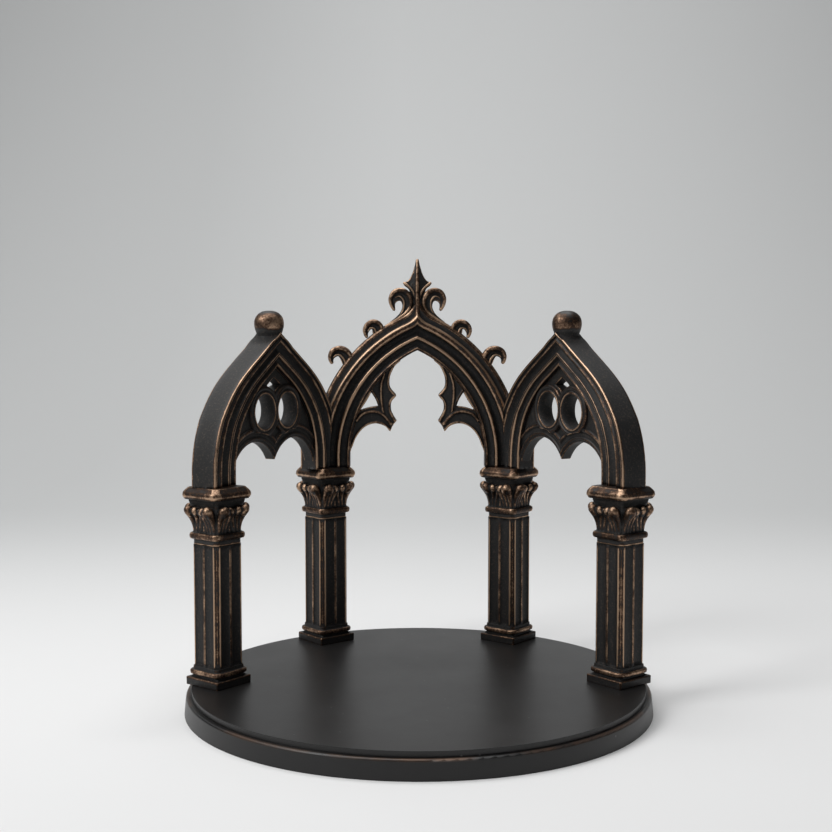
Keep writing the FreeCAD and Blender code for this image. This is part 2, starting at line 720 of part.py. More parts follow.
def eye_height(inside):
    """Height of the eyes' centres: their rims hang just clear of the ring's straight crown."""
    slope = math.radians(size("crown_slope"))
    head = side_line(inside)[-1][-1][1]
    clear = fitted("eye_diameter") / 2 + fitted("eye_rim") + fitted("eye_gap")
    return head - fitted("eye_spacing") / 2 * math.tan(slope) - clear / math.cos(slope)


def make_tracery(index):
    """Pierced plate under a side arch: two eyes, a small light above them and two lobes below."""
    body = new_body(ARCHES[index] + "_tracery")
    inside = size("ring_width") + size("joint_gap")
    line = side_line(inside)
    width = line[0][1][0]
    radius = fitted("lobe_radius")
    lobe = (width - radius + fitted("lobe_overlap"), size("springing") - fitted("lobe_drop"))
    meet = lobe[1] + math.sqrt(radius ** 2 - (width - lobe[0]) ** 2)
    cusp = lobe[1] + math.sqrt(radius ** 2 - lobe[0] ** 2)
    right = [("line", (width, meet), (width, size("springing")))] + line[1:]
    top = (lobe[0], lobe[1] + radius)
    lobes = [("arc", (-width, meet), (-top[0], top[1]), (0, cusp)),
             ("arc", (0, cusp), top, (width, meet))]
    height = eye_height(inside)
    eyes = [(side * fitted("eye_spacing") / 2, height) for side in (-1, 1)]
    hole = "Sizes.eye_diameter * Sizes.fit"

    plate = new_sketch(body, "XZ_Plane")
    outline(plate, right + mirrored(right) + lobes)
    for x, z in eyes:
        circle(plate, x, z, hole)
    outline(plate, spandrel_light(eyes[1], inside))
    pad(body, plate, "Sizes.plate_thickness", symmetric=True)
    for x, z in eyes:
        rim = new_sketch(body, "XZ_Plane")
        circle(rim, x, z, "(Sizes.eye_diameter + 2 * Sizes.eye_rim) * Sizes.fit")
        circle(rim, x, z, hole)
        pad(body, rim, "Sizes.tracery_thickness", symmetric=True)
    reopen = new_sketch(body, "XZ_Plane")
    for x, z in eyes:
        circle(reopen, x, z, hole)
    pocket(body, reopen, "2 * Sizes.tracery_thickness", symmetric=True)
    body.Placement = in_arch(index, 0)


def spandrel_light(eye, inside):
    """Three-sided light between the two eyes' rims and the crown."""
    slope = math.radians(size("crown_slope"))
    rim = fitted("eye_diameter") / 2 + fitted("eye_rim") + size("joint_gap")
    head = side_line(inside)[-1][-1][1] - fitted("spandrel_rim") / math.cos(slope)
    low = (0, eye[1] + math.sqrt(rim ** 2 - eye[0] ** 2))
    # distance from the eye's centre to the crown line, then the crossing nearer the middle
    height = (head - eye[0] * math.tan(slope) - eye[1]) * math.cos(slope)
    turn = math.pi / 2 - slope + math.acos(min(1.0, height / rim))
    side = (eye[0] + rim * math.cos(turn), eye[1] + rim * math.sin(turn))
    start = math.atan2(low[1] - eye[1], -eye[0])
    middle = (start + turn) / 2
    between = (eye[0] + rim * math.cos(middle), eye[1] + rim * math.sin(middle))
    right = [("arc", low, between, side), ("line", side, (0, head))]
    return right + mirrored(right)


def make_cusp(sense, name):
    """Pierced bracket inside the centre arch, drawn on the right and mirrored for the left."""
    body = new_body(name + "_cusp")
    inside = size("ring_width") + size("joint_gap")
    inner = outer_half_width() - inside
    start = size("springing")
    foot_angle = math.degrees(math.asin(fitted("cusp_foot_rise") / centre_radius(inside)))
    head_angle = size("cusp_top_angle")
    foot = centre_point(inside, foot_angle)
    head = centre_point(inside, head_angle)
    back = centre_point(inside, (foot_angle + head_angle) / 2)
    tip = (inner - fitted("cusp_reach"), start + fitted("cusp_rise"))
    low = (inner - fitted("cusp_tip_reach"), start + fitted("cusp_tip_rise"))
    nib = (tip[0], start + fitted("nib_rise"))
    lobe_top = start + fitted("cusp_lobe_rise")
    lobe = ((low[0] + foot[0] - fitted("cusp_waist")) / 2, lobe_top)
    waist = (tip[0] + fitted("cusp_waist"), (tip[1] + nib[1]) / 2)
    shoulder = (tip[0] + fitted("cusp_shoulder"), (nib[1] + head[1]) / 2)
    edge = [("arc", foot, back, head), ("arc", head, shoulder, nib), ("arc", nib, waist, tip),
            ("line", tip, low), ("arc", low, lobe, foot)]
    base = start + fitted("light_rise")
    outer = inner - fitted("light_reach")
    width = fitted("light_width")
    light = [(outer, base), (outer - width, base + fitted("light_tilt")),
             (outer - width * size("light_head_share"), base + fitted("light_height"))]
    edge += [("line", a, b) for a, b in zip(light, light[1:] + light[:1])]
    if sense < 0:
        edge = mirrored(edge)
    sketch = new_sketch(body, "XZ_Plane")
    outline(sketch, edge)
    pad(body, sketch, "Sizes.cusp_thickness", symmetric=True)
    body.Placement = in_arch(1, 0)


def peg(body):
    """Square peg that points down from the piece's foot."""
    half = size("peg_side") / 2
    sketch = new_sketch(body, "XZ_Plane")
    corners = ((-half, -size("peg_length")), (half, -size("peg_length")), (half, 0.6), (-half, 0.6))
    outline(sketch, [("line", a, b) for a, b in zip(corners, corners[1:] + corners[:1])])
    pad(body, sketch, "Sizes.peg_side", symmetric=True)


CROCKET_BACK = (-0.72, 0.72)
CROCKET_CREST = (0.0, 1.0)
CROCKET_NOSE = (0.27, 0.82)
CROCKET_TIP = (0.22, 0.56)
CROCKET_CURL = (0.02, 0.58)
CROCKET_HOOK = (-0.08, 0.42)
CROCKET_THROAT = (0.25, 0.18)


def make_crocket(sense, name, level, angle_name, size_name):
    """Curled leaf on the ring.

    Its own x runs down the slope and z straight out of the ring.  The places on its outline are
    shares of its height.
    """
    body = new_body("%s_%s_crocket" % (name, level))
    tall = size(size_name)
    radius = centre_radius(0) + size("joint_gap")

    def on_ring(along):
        x = along * tall
        return x, math.sqrt(radius ** 2 - x ** 2) - centre_radius(0)

    def place(share):
        return share[0] * tall, share[1] * tall
    tail = size("crocket_tail")
    upper = on_ring(CROCKET_BACK[0])
    end = on_ring(tail)
    steps = [("arc", upper, place(CROCKET_BACK), place(CROCKET_CREST)),
             ("arc", place(CROCKET_CREST), place(CROCKET_NOSE), place(CROCKET_TIP)),
             ("arc", place(CROCKET_TIP), place(CROCKET_CURL), place(CROCKET_HOOK)),
             ("arc", place(CROCKET_HOOK), place(CROCKET_THROAT), end),
             ("arc", end, on_ring((tail + CROCKET_BACK[0]) / 2), upper)]
    if sense < 0:
        steps = mirrored(steps)
    sketch = new_sketch(body, "XZ_Plane")
    outline(sketch, steps)
    pad(body, sketch, "Sizes.crocket_thickness", symmetric=True)
    peg(body)
    angle = size(angle_name)
    x, z = centre_point(0, angle)
    body.Placement = in_arch(1, sense * x, z, sense * (90 - angle))


SCROLL_THROAT = (0.312, -0.048)
SCROLL_NECK = (0.32, 0.096)
SCROLL_EYE = (0.392, 0.168)
SCROLL_INNER_TIP = (0.448, 0.096)
SCROLL_TIP = (0.48, 0.024)
SCROLL_SIDE = (0.552, 0.32)
SCROLL_CREST = (0.344, 0.448)
SCROLL_BROW = (0.224, 0.416)
SPEAR_NECK = (0.136, 0.4)
SPEAR_BARB = (0.256, 0.536)
SPEAR_BLADE = (0.104, 0.688)
SPEAR_TIP = (0.028, 0.984)


def make_spear_finial():
    """Spear between two scrolls, saddled over the centre arch's apex.

    The places on its outline are shares of its height.
    """
    body = new_body("spear_finial")
    tall = size("finial_height")
    radius = centre_radius(0) + size("joint_gap")
    offset = fitted("centre_offset")
    drop = finial_foot() - size("springing")

    def saddle(x):
        return x, math.sqrt(radius ** 2 - (x + offset) ** 2) - drop

    def place(share):
        return share[0] * tall, share[1] * tall
    foot = saddle(size("finial_saddle"))
    right = [("arc", saddle(0), saddle(size("finial_saddle") / 2), foot),
             ("arc", foot, place(SCROLL_THROAT), place(SCROLL_NECK)),
             ("arc", place(SCROLL_NECK), place(SCROLL_EYE), place(SCROLL_INNER_TIP)),
             ("line", place(SCROLL_INNER_TIP), place(SCROLL_TIP)),
             ("arc", place(SCROLL_TIP), place(SCROLL_SIDE), place(SCROLL_CREST)),
             ("arc", place(SCROLL_CREST), place(SCROLL_BROW), place(SPEAR_NECK)),
             ("line", place(SPEAR_NECK), place(SPEAR_BARB)),
             ("arc", place(SPEAR_BARB), place(SPEAR_BLADE), place(SPEAR_TIP)),
             ("line", place(SPEAR_TIP), (0, tall))]
    sketch = new_sketch(body, "XZ_Plane")
    outline(sketch, right + mirrored(right))
    pad(body, sketch, "Sizes.finial_thickness", symmetric=True)
    peg(body)
    body.Placement = in_arch(1, 0, finial_foot())


# ---- fixings ----------------------------------------------------------------------------------

def group(label, pieces):
    """Loose, identical pieces that share one node."""
    compound = doc.addObject("Part::Compound", label)
    compound.Label = label
    compound.Links = pieces
    doc.recompute()


def make_rods():
    """A countersunk tie rod from under the base up into each abacus."""
    rods = []
    for index, column in enumerate(COLUMNS):
        shank = doc.addObject("Part::Cylinder", "shank_" + column)
        shank.setExpression("Radius", "Sizes.rod_diameter / 2")
        shank.setExpression("Height", "Sizes.base_height + %s + Sizes.rod_seat" % CAPITAL_TOP)
        head = doc.addObject("Part::Cone", "head_" + column)
        head.setExpression("Radius1", "Sizes.rod_head_diameter / 2")
        head.setExpression("Radius2", "Sizes.rod_diameter / 2")
        head.setExpression("Height", "Sizes.rod_head_height")
        rod = doc.addObject("Part::Fuse", "rod_" + column)
        rod.Base = shank
        rod.Tool = head
        rod.Placement.Base = FreeCAD.Vector(*column_axis(index), 0)
        rods.append(rod)
    group("tie_rods", rods)


def make_dowels():
    """Plain dowels, half in the abacus and half in the arch above."""
    dowels = []
    for index, column in enumerate(COLUMNS):
        x, y = column_axis(index)
        for dx, dy in dowel_places(index):
            dowel = doc.addObject("Part::Cylinder", "dowel_" + column)
            dowel.setExpression("Radius", "Sizes.dowel_diameter / 2")
            dowel.setExpression("Height", "2 * Sizes.dowel_depth")
            dowel.Placement.Base = FreeCAD.Vector(x + dx, y + dy, 0)
            dowel.setExpression("Placement.Base.z", ABACUS_TOP + " - Sizes.dowel_depth")
            dowels.append(dowel)
    group("arch_dowels", dowels)


# ---- build, check and write -------------------------------------------------------------------

make_base()
for number in range(len(COLUMNS)):
    make_foot(number)
    make_shaft(number)
    make_capital(number)
    make_abacus(number)
for number in range(len(ARCHES)):
    make_arch(number)
for number in (0, 2):
    make_tracery(number)
    make_ball(number)
for hand, side_name in ((-1, "left"), (1, "right")):
    make_cusp(hand, side_name)
    for crocket in crocket_places():
        make_crocket(hand, side_name, *crocket)
make_spear_finial()
make_rods()
make_dowels()
doc.recompute()

for item in doc.Objects:
    if "Invalid" in item.State or "Error" in item.State:
        raise RuntimeError("%s failed: %s" % (item.Label, item.State))

os.makedirs("parts", exist_ok=True)
nodes = [item for item in doc.Objects if item.TypeId in ("PartDesign::Body", "Part::Compound")]
for node in nodes:
    shape = node.Shape
    if shape.isNull() or not shape.isValid():
        raise RuntimeError("%s has no valid shape" % node.Label)
    shape.exportStep("parts/%s.step" % node.Label)
    print("%-28s %d solid(s) %9.2f mm3" % (node.Label, len(shape.Solids), shape.Volume))
print(len(nodes), "nodes")
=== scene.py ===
import math

import bmesh
import bpy
import numpy as np
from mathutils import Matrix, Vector


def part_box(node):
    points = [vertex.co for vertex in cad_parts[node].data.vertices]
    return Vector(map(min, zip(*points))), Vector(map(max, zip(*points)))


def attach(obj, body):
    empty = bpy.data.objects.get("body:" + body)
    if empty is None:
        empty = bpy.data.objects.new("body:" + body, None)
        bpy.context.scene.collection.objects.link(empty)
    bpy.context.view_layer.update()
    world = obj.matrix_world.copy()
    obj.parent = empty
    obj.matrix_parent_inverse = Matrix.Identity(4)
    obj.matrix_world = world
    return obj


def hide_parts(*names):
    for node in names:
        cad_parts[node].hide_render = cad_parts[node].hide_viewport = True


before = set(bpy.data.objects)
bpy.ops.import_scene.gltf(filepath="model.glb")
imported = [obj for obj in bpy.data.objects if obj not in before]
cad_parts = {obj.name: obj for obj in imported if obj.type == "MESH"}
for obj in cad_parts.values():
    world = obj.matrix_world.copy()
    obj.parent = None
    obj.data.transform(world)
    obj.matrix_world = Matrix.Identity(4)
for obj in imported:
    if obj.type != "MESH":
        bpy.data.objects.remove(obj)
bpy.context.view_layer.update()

MM = 0.001
COLUMNS = ("left_front", "left_rear", "right_rear", "right_front")
ARCHES = ("left", "centre", "right")

# Sizes of the arches in millimetres: heights are above the slabs, x runs along the arch.
SPRINGING = 2.5
RING = 8.7
SIDE_RISE = 29.9
SIDE_CROWN = 7.4
SLOPE = math.radians(32.5)
CENTRE_OFFSET = 12.0
LEG_INSET = 2.73
SET_OUT = 0.3
NECK_RADIUS = 2.9
NECK_FLARE = 3.4
NECK_TOP = 32.8
MITRE_GAP = 0.02 * MM

# The rings' moulding is drawn for a thickness of 5.6 mm and widened to the real one.
THICKEN = 6.2 / 5.6
# Each column's sides are turned this many degrees off its diagonal, one way and the other in turn.
COLUMN_TURN = 6.0
# Grid pitch of the carved pieces; their wear is softened over the same breadth at either pitch.
PITCH = 0.13
CARVED_PASSES = round(0.28 / PITCH ** 2)
FAR = 1e9
HALF_ROOT = math.sqrt(0.5)

# The base's lip, the studio's paper sweep and the camera, in millimetres and degrees.
LIP_RADIUS = 49.25
LIP_HEIGHT = 3.8
WALL = 1130
SWEEP_RADIUS = 750
SWEEP_FRONT = 1500
SWEEP_HALF = 2200
SWEEP_HIGH = 2200
CAMERA_PLACE = (-2.835, -280.37, 81.354)
CAMERA_LENS = 56.98
CAMERA_DIP = 3.918
CAMERA_SWING = 0.454


# ---- places taken from the frame ---------------------------------------------------------------

def corners_of(node):
    low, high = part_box(node)
    return np.array(low) / MM, np.array(high) / MM


def axis_of(index):
    low, high = corners_of("foot_" + COLUMNS[index])
    return (low + high)[:2] / 2


AXES = [axis_of(index) for index in range(4)]
SLAB_TOP = corners_of("abacus_left_front")[1][2]
SPAN = np.linalg.norm(AXES[1] - AXES[0])
HALF = (SPAN - LEG_INSET + RING) / 2


def arch_frame(index):
    """Origin, direction along and direction outward of an arch, in plan."""
    gap = AXES[index + 1] - AXES[index]
    along = gap / np.linalg.norm(gap)
    outward = np.array((-along[1], along[0]))
    middle = (AXES[index] + AXES[index + 1]) / 2 + along * (index - 1) * LEG_INSET / 2
    return middle, along, outward


def in_arch(index, points):
    """Points (x along, y outward, z above the slabs) of an arch, in the object's frame."""
    middle, along, outward = arch_frame(index)
    points = np.asarray(points, float)
    plan = middle + points[..., :1] * along + (points[..., 1:2] + SET_OUT) * outward
    return np.concatenate((plan, points[..., 2:] + SLAB_TOP), -1)


def in_column(index, points, foot):
    """Points of a column piece, square to its own sides, in the object's frame."""
    turn = math.radians(45 + COLUMN_TURN * (1 if index % 2 == 0 else -1))
    points = np.asarray(points, float)
    x = points[..., :1] * math.cos(turn) - points[..., 1:2] * math.sin(turn) + AXES[index][0]
    y = points[..., :1] * math.sin(turn) + points[..., 1:2] * math.cos(turn) + AXES[index][1]
    return np.concatenate((x, y, points[..., 2:] + foot), -1)


# ---- meshes ------------------------------------------------------------------------------------

def mesh_from(name, points, faces):
    mesh = bpy.data.meshes.new(name)
    faces = np.asarray(faces, np.int32)
    mesh.vertices.add(len(points))
    mesh.vertices.foreach_set("co", (np.asarray(points, np.float32) * MM).ravel())
    mesh.loops.add(faces.size)
    mesh.loops.foreach_set("vertex_index", faces.ravel())
    mesh.polygons.add(len(faces))
    starts = np.arange(0, faces.size, faces.shape[1], dtype=np.int32)
    mesh.polygons.foreach_set("loop_start", starts)
    mesh.update(calc_edges=True)
    mesh.polygons.foreach_set("use_smooth", np.ones(len(faces), bool))
    return mesh


def grid_faces(rows, across, closed_across=True):
    """Quads between the rows of points of a swept mesh."""
    i = np.arange(rows - 1)[:, None] * across
    j = np.arange(across if closed_across else across - 1)[None, :]
    beside = (j + 1) % across
    quads = (i + j, i + beside, i + across + beside, i + across + j)
    return np.stack(quads, -1).reshape(-1, 4)


def read_rows(items, name, width, kind=np.float32):
    """A value of every vertex, normal or edge of a mesh, one row for each."""
    rows = np.zeros(len(items) * width, kind)
    items.foreach_get(name, rows)
    return rows.reshape(-1, width)


def mark_wear_and_shade(mesh, passes, bias=0.0, across=None, most=1.0):
    """Stores how far each point stands out (+) of its softened surroundings, in tenths of a mm.

    A swept mesh gives the number of points across it, and is only softened across. No point counts
    as more than most, so that corners aren't rubbed bare. The bias, one value or one for each
    point, says where the cloth bore harder and where painted shade goes; the material paints sunk
    points darker as shade."""
    count = len(mesh.vertices)
    place = read_rows(mesh.vertices, "co", 3).astype(float) / MM
    normal = read_rows(mesh.vertex_normals, "vector", 3)
    a, b = read_rows(mesh.edges, "vertices", 2, np.int32).T
    if across:
        within = a // across == b // across
        a, b = a[within], b[within]
    neighbours = np.maximum(np.bincount(a, minlength=count) + np.bincount(b, minlength=count), 1)
    soft = place.copy()
    for _ in range(passes):
        near = [(np.bincount(a, soft[b, k], count) + np.bincount(b, soft[a, k], count))
                / neighbours for k in range(3)]
        soft = 0.5 * soft + 0.5 * np.stack(near, 1)
    wear_and_shade = np.clip(10 * ((place - soft) * normal).sum(1), -1.5, most) + bias
    layer = mesh.attributes.get("wear_and_shade") or mesh.attributes.new("wear_and_shade", "FLOAT", "POINT")
    layer.data.foreach_set("value", wear_and_shade.astype(np.float32))


def finish_mesh(work, mesh):
    """Turns all faces outward and puts the worked mesh back."""
    bmesh.ops.recalc_face_normals(work, faces=work.faces[:])
    work.to_mesh(mesh)
    work.free()


def opened(mesh):
    """A mesh as a work mesh, for changes to its faces."""
    work = bmesh.new()
    work.from_mesh(mesh)
    return work


def close_ends(mesh, cuts=()):
    """Caps a swept mesh's open ends, and trims it by planes (point, outward direction)."""
    work = opened(mesh)
    for place, outward in cuts:
        geometry = work.verts[:] + work.edges[:] + work.faces[:]
        bmesh.ops.bisect_plane(work, geom=geometry, plane_co=Vector(place),
                               plane_no=Vector(outward), clear_outer=True)
    rim = [edge for edge in work.edges if edge.is_boundary]
    caps = bmesh.ops.holes_fill(work, edges=rim, sides=0)["faces"]
    for cap in caps:
        cap.smooth = False
    bmesh.ops.triangulate(work, faces=caps, ngon_method="EAR_CLIP")
    finish_mesh(work, mesh)


def publish(mesh, node, material):
    """Makes an object of a finished casting, which stands for a CAD node."""
    obj = bpy.data.objects.new(mesh.name, mesh)
    bpy.context.scene.collection.objects.link(obj)
    mesh.materials.append(material)
    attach(obj, "root")
    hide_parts(node)


# ---- carved skins: a solid is sampled on a grid, negative inside, and skinned ------------------

def skin(field, low):
    """Vertices and quads of the surface where a sampled field changes sign."""
    cells = tuple(n - 1 for n in field.shape)
    total = np.zeros((np.prod(cells), 3))
    count = np.zeros(np.prod(cells), np.int32)
    quads = []
    stride = (cells[1] * cells[2], cells[2], 1)
    for axis in range(3):
        others = [k for k in range(3) if k != axis]
        first = np.take(field, range(field.shape[axis] - 1), axis)
        second = np.take(field, range(1, field.shape[axis]), axis)
        at = np.nonzero((first < 0) != (second < 0))
        start, end = first[at], second[at]
        place = np.stack(at, 1).astype(float)
        place[:, axis] += start / (start - end)
        edge = np.stack(at, 1)
        keep = np.all([(edge[:, k] > 0) & (edge[:, k] < cells[k]) for k in others], 0)
        edge, place, rising = edge[keep], place[keep], (start < 0)[keep]
        home = edge @ np.array(stride)
        u, v = (stride[k] for k in others)
        around = np.stack((home - u - v, home - v, home, home - u), 1)
        for k in range(4):
            np.add.at(total, around[:, k], place)
            np.add.at(count, around[:, k], 1)
        flip = rising if axis != 1 else ~rising
        around[~flip] = around[~flip][:, ::-1]
        quads.append(around)
    quads = np.concatenate(quads)
    used = np.nonzero(count)[0]
    number = np.zeros(len(count), np.int64)
    number[used] = np.arange(len(used))
    points = total[used] / count[used][:, None] * PITCH + low
    return points, number[quads]


def blend_in(a, b, soft):
    """Union of two solids with a small fillet between them."""
    mix = np.clip(0.5 + 0.5 * (b - a) / soft, 0, 1)
    return b * (1 - mix) + a * mix - soft * mix * (1 - mix)


def cut_with(a, b, soft):
    """What two solids share, its edge rounded."""
    return -blend_in(-a, -b, soft)


def to_run(place, start, end):
    """Where on a straight run, 0 to 1, its nearest point lies, and the squared distance to it.

    Places are given axis by axis."""
    steps = [b - a for a, b in zip(start, end)]
    length = max(sum(step * step for step in steps), 1e-12)
    ahead = sum((p - a) * step for p, a, step in zip(place, start, steps))
    share = np.clip(ahead / length, 0, 1)
    return share, sum((p - a - share * step) ** 2 for p, a, step in zip(place, start, steps))


def outline_distance(x, z, outline):
    """Signed distance in the plane to a closed outline, negative inside."""
    near = np.full(np.broadcast(x, z).shape, FAR)
    inside = np.zeros(near.shape, bool)
    for start, end in zip(outline, np.roll(outline, -1, 0)):
        near = np.minimum(near, to_run((x, z), start, end)[1])
        (ax, az), (bx, bz) = start, end
        if az != bz:
            crosses = (az > z) != (bz > z)
            inside ^= crosses & (x < ax + (z - az) / (bz - az) * (bx - ax))
    return np.where(inside, -1, 1) * np.sqrt(near)


def curve_through(points, steps=7):
    """A smooth open curve through points of any width, as a dense row of points."""
    p = np.asarray(points, float)
    p = np.vstack((2 * p[0] - p[1], p, 2 * p[-1] - p[-2]))
    rows = []
    for a, b, c, d in zip(p, p[1:], p[2:], p[3:]):
        for t in np.arange(steps) / steps:
            rows.append(0.5 * ((2 * b) + (c - a) * t + (2 * a - 5 * b + 4 * c - d) * t * t
                               + (3 * b - a - 3 * c + d) * t ** 3))
    rows.append(p[-2])
    return np.array(rows)


def roll_along(x, y, z, path, steps):
    """A round roll on both faces: its path gives x, z, distance from the mid plane and radius."""
    field = np.full(np.broadcast(x, y, z).shape, FAR)
    rows = curve_through(path, steps)
    for a, b in zip(rows, rows[1:]):
        share, flat = to_run((x, z), a[:2], b[:2])
        depth = a[2] + share * (b[2] - a[2])
        radius = a[3] + share * (b[3] - a[3])
        field = np.minimum(field, np.sqrt(flat + (np.abs(y) - depth) ** 2) - radius)
    return field


def grid_over(low, high):
    """Sparse x, y and z of a grid round a box, and its first corner."""
    axes = [np.arange(a - 2 * PITCH, b + 3 * PITCH, PITCH) for a, b in zip(low, high)]
    x, y, z = np.meshgrid(*axes, indexing="ij", sparse=True)
    return x, y, z, np.array([axis[0] for axis in axes])


def plate(y, outline_field, half_thickness, soft):
    """A flat plate of an outline, its edges rounded."""
    return cut_with(outline_field, np.abs(y) - half_thickness, soft)


# ---- lines of the arches, right half, from foot to apex ----------------------------------------

def side_lines(inside):
    inside = np.asarray(inside, float)[:, None]
    crown = SIDE_RISE - inside * SIDE_CROWN / RING
    width = HALF - inside
    radius = (crown * math.cos(SLOPE) - width * math.sin(SLOPE)) / (1 - math.sin(SLOPE))
    turn = np.linspace(0, math.pi / 2 - SLOPE, 44)[None, :]
    haunch = np.stack((width - radius + radius * np.cos(turn),
                       SPRINGING + radius * np.sin(turn)), -1)
    rise = np.linspace(0, 1, 5)[None, :-1] * SPRINGING + inside * 0
    leg = np.stack((width + rise * 0, rise), -1)
    share = (1 - (1 - np.linspace(0, 1, 44)) ** 1.7)[None, 1:, None]
    apex = np.stack((crown * 0, SPRINGING + crown), -1)
    straight = haunch[:, -1:] * (1 - share) + apex * share
    lines = np.concatenate((leg, haunch, straight), 1)
    # The haunch runs into the slope without a break.
    for _ in range(70):
        lines[:, 26:-8] += 0.5 * ((lines[:, 25:-9] + lines[:, 27:-7]) / 2 - lines[:, 26:-8])
    return lines


def centre_lines(inside):
    inside = np.asarray(inside, float)[:, None]
    width = HALF - inside * 1.03
    radius = width + CENTRE_OFFSET
    share = (1 - (1 - np.linspace(0, 1, 96)) ** 1.5)[None, :]
    turn = share * np.arccos(CENTRE_OFFSET / radius)
    curve = np.stack((radius * np.cos(turn) - CENTRE_OFFSET,
                      SPRINGING + radius * np.sin(turn)), -1)
    rise = np.linspace(0, 1, 5)[None, :-1] * SPRINGING + inside * 0
    leg = np.stack((width + rise * 0, rise), -1)
    return np.concatenate((leg, curve), 1)


def arch_lines(index, inside):
    """Lines (x, z) of an arch at depths inside its outer edge."""
    return (centre_lines if index == 1 else side_lines)(inside)


# ---- arch mouldings ----------------------------------------------------------------------------

def bowl(place, start, end, level, depth):
    """Level of a hollow between two lips, flat beyond them."""
    share = np.clip((place - start) / (end - start), 0, 1)
    return level - depth * np.sin(share * math.pi) ** 0.75


def bead(place, centre, radius, top):
    """Level of a half-round bead, elsewhere far below."""
    inside = radius ** 2 - (place - centre) ** 2
    return np.where(inside > 0, top - radius + np.sqrt(np.maximum(inside, 0)), -1e3)


def side_face(place):
    """Half thickness of a side arch across its moulding: arris, groove, band, hollow, bead."""
    level = np.select(
        [place < 0.75, place < 1.75, place < 2.65, place < 5.4, place < 6.3, place < 8.0],
        [2.8, bowl(place, 0.75, 1.75, 2.75, 0.55), 2.55, bowl(place, 2.65, 5.4, 2.6, 1.05), 1.9,
         bowl(place, 6.3, 8.0, 2.0, 0.5)], 2.0)
    for centre, radius, top in ((2.2, 0.5, 2.82), (5.85, 0.52, 2.5), (8.3, 0.32, 2.12)):
        level = np.maximum(level, bead(place, centre, radius, top))
    return level


def centre_face(place):
    """Half thickness of the centre arch: thin crest, cavetto, thick roll, hollow, bead."""
    level = np.select(
        [place < 0.4, place < 1.9, place < 3.75, place < 5.5, place < 6.5, place < 8.0],
        [1.75, bowl(place, 0.3, 2.3, 1.8, 0.25), 2.0, bowl(place, 3.75, 5.6, 2.25, 0.75), 1.85,
         bowl(place, 6.4, 8.1, 1.95, 0.45)], 1.95)
    roll = np.clip(1 - np.abs((place - 2.82) / 0.92) ** 3, 0, 1) ** 0.5
    level = np.where(roll > 0, np.maximum(level, 2.0 + 0.85 * roll), level)
    for centre, radius, top in ((6.0, 0.46, 2.5), (8.3, 0.3, 2.05)):
        level = np.maximum(level, bead(place, centre, radius, top))
    return level


def ring_profile(face, crest):
    """Closed loop of (inside, y) round an arch ring, its crest rounded, both faces alike."""
    places = np.arange(crest + 0.06, RING - 0.28, 0.09)
    levels = face(places)
    levels = np.convolve(np.pad(levels, 1, "edge"), (0.2, 0.6, 0.2), "valid")
    corner = np.radians(np.linspace(90, 0, 5 if crest < 0.5 else 9))
    outer = [(crest - crest * math.sin(a), levels[0] - crest + crest * math.cos(a))
             for a in corner]
    inner = [(RING - 0.24 + 0.24 * math.sin(a), levels[-1] - 0.24 + 0.24 * math.cos(a))
             for a in corner[::-1]]
    half = outer + list(zip(places, levels)) + inner
    top = np.linspace(-half[0][1], half[0][1], 19)[1:-1]
    back = [(a, -b) for a, b in reversed(half)]
    under = np.linspace(half[-1][1], -half[-1][1], 15)[1:-1]
    return np.array([(0.0, y) for y in top] + half + [(RING, y) for y in under] + back)


def neck_lift(x, y, z, inside):
    """Sweeps a side arch's crown up into the round neck under its ball."""
    away = np.hypot(x, y)
    q = np.clip((NECK_RADIUS + NECK_FLARE - away) / NECK_FLARE, 0, 1)
    rise = (1 - np.sqrt(1 - q ** 2)) ** 0.9
    near = np.clip(1 - inside / 3.2, 0, 1) ** 1.5
    head = NECK_TOP - 1.7 * np.clip(away / NECK_RADIUS, 0, 1) ** 4
    lifted = z + np.maximum(head - z, 0) * rise * near
    return y * (1 + 0.1 * rise * near), lifted


def ogee_lift(x, z, inside):
    """Turns the centre arch's crest and roll up into the spear's stem."""
    near = np.clip(1 - x / (4.6 - 0.9 * np.minimum(inside, 3)), 0, 1) ** 2.4
    crest = 2.6 * np.clip(1 - inside / 2.2, 0, 1)
    roll = 1.1 * np.clip(1 - (inside - 2.0) / 2.6, 0, 1) * np.clip(inside / 1.5, 0, 1)
    return z + near * (crest + roll)


def ring_bias(index, rows, profile):
    """The cloth bears on the rolls; it misses the centre arch's crest and a side arch's neck."""
    inside, y = profile[:, 0], np.abs(profile[:, 1])
    if index == 1:
        roll = np.where(np.abs(inside - 2.82) < 0.85, 0.17, 0.0)
        return np.tile(np.where(inside < 0.9, -0.32, 0.05) + roll, len(rows))
    neck = np.clip((NECK_RADIUS + 2.0 - np.hypot(rows[..., 0], rows[..., 1])) / 2.0, 0, 1)
    back = np.where((inside < 0.01) & (y < 2.4), 0.07, 0.0)
    crest = np.where(inside < 0.35, -0.16, 0.02) - back
    return (crest - neck * np.where((inside < 1.0) & (y < 2.5), 0.7, 0.0)).ravel()


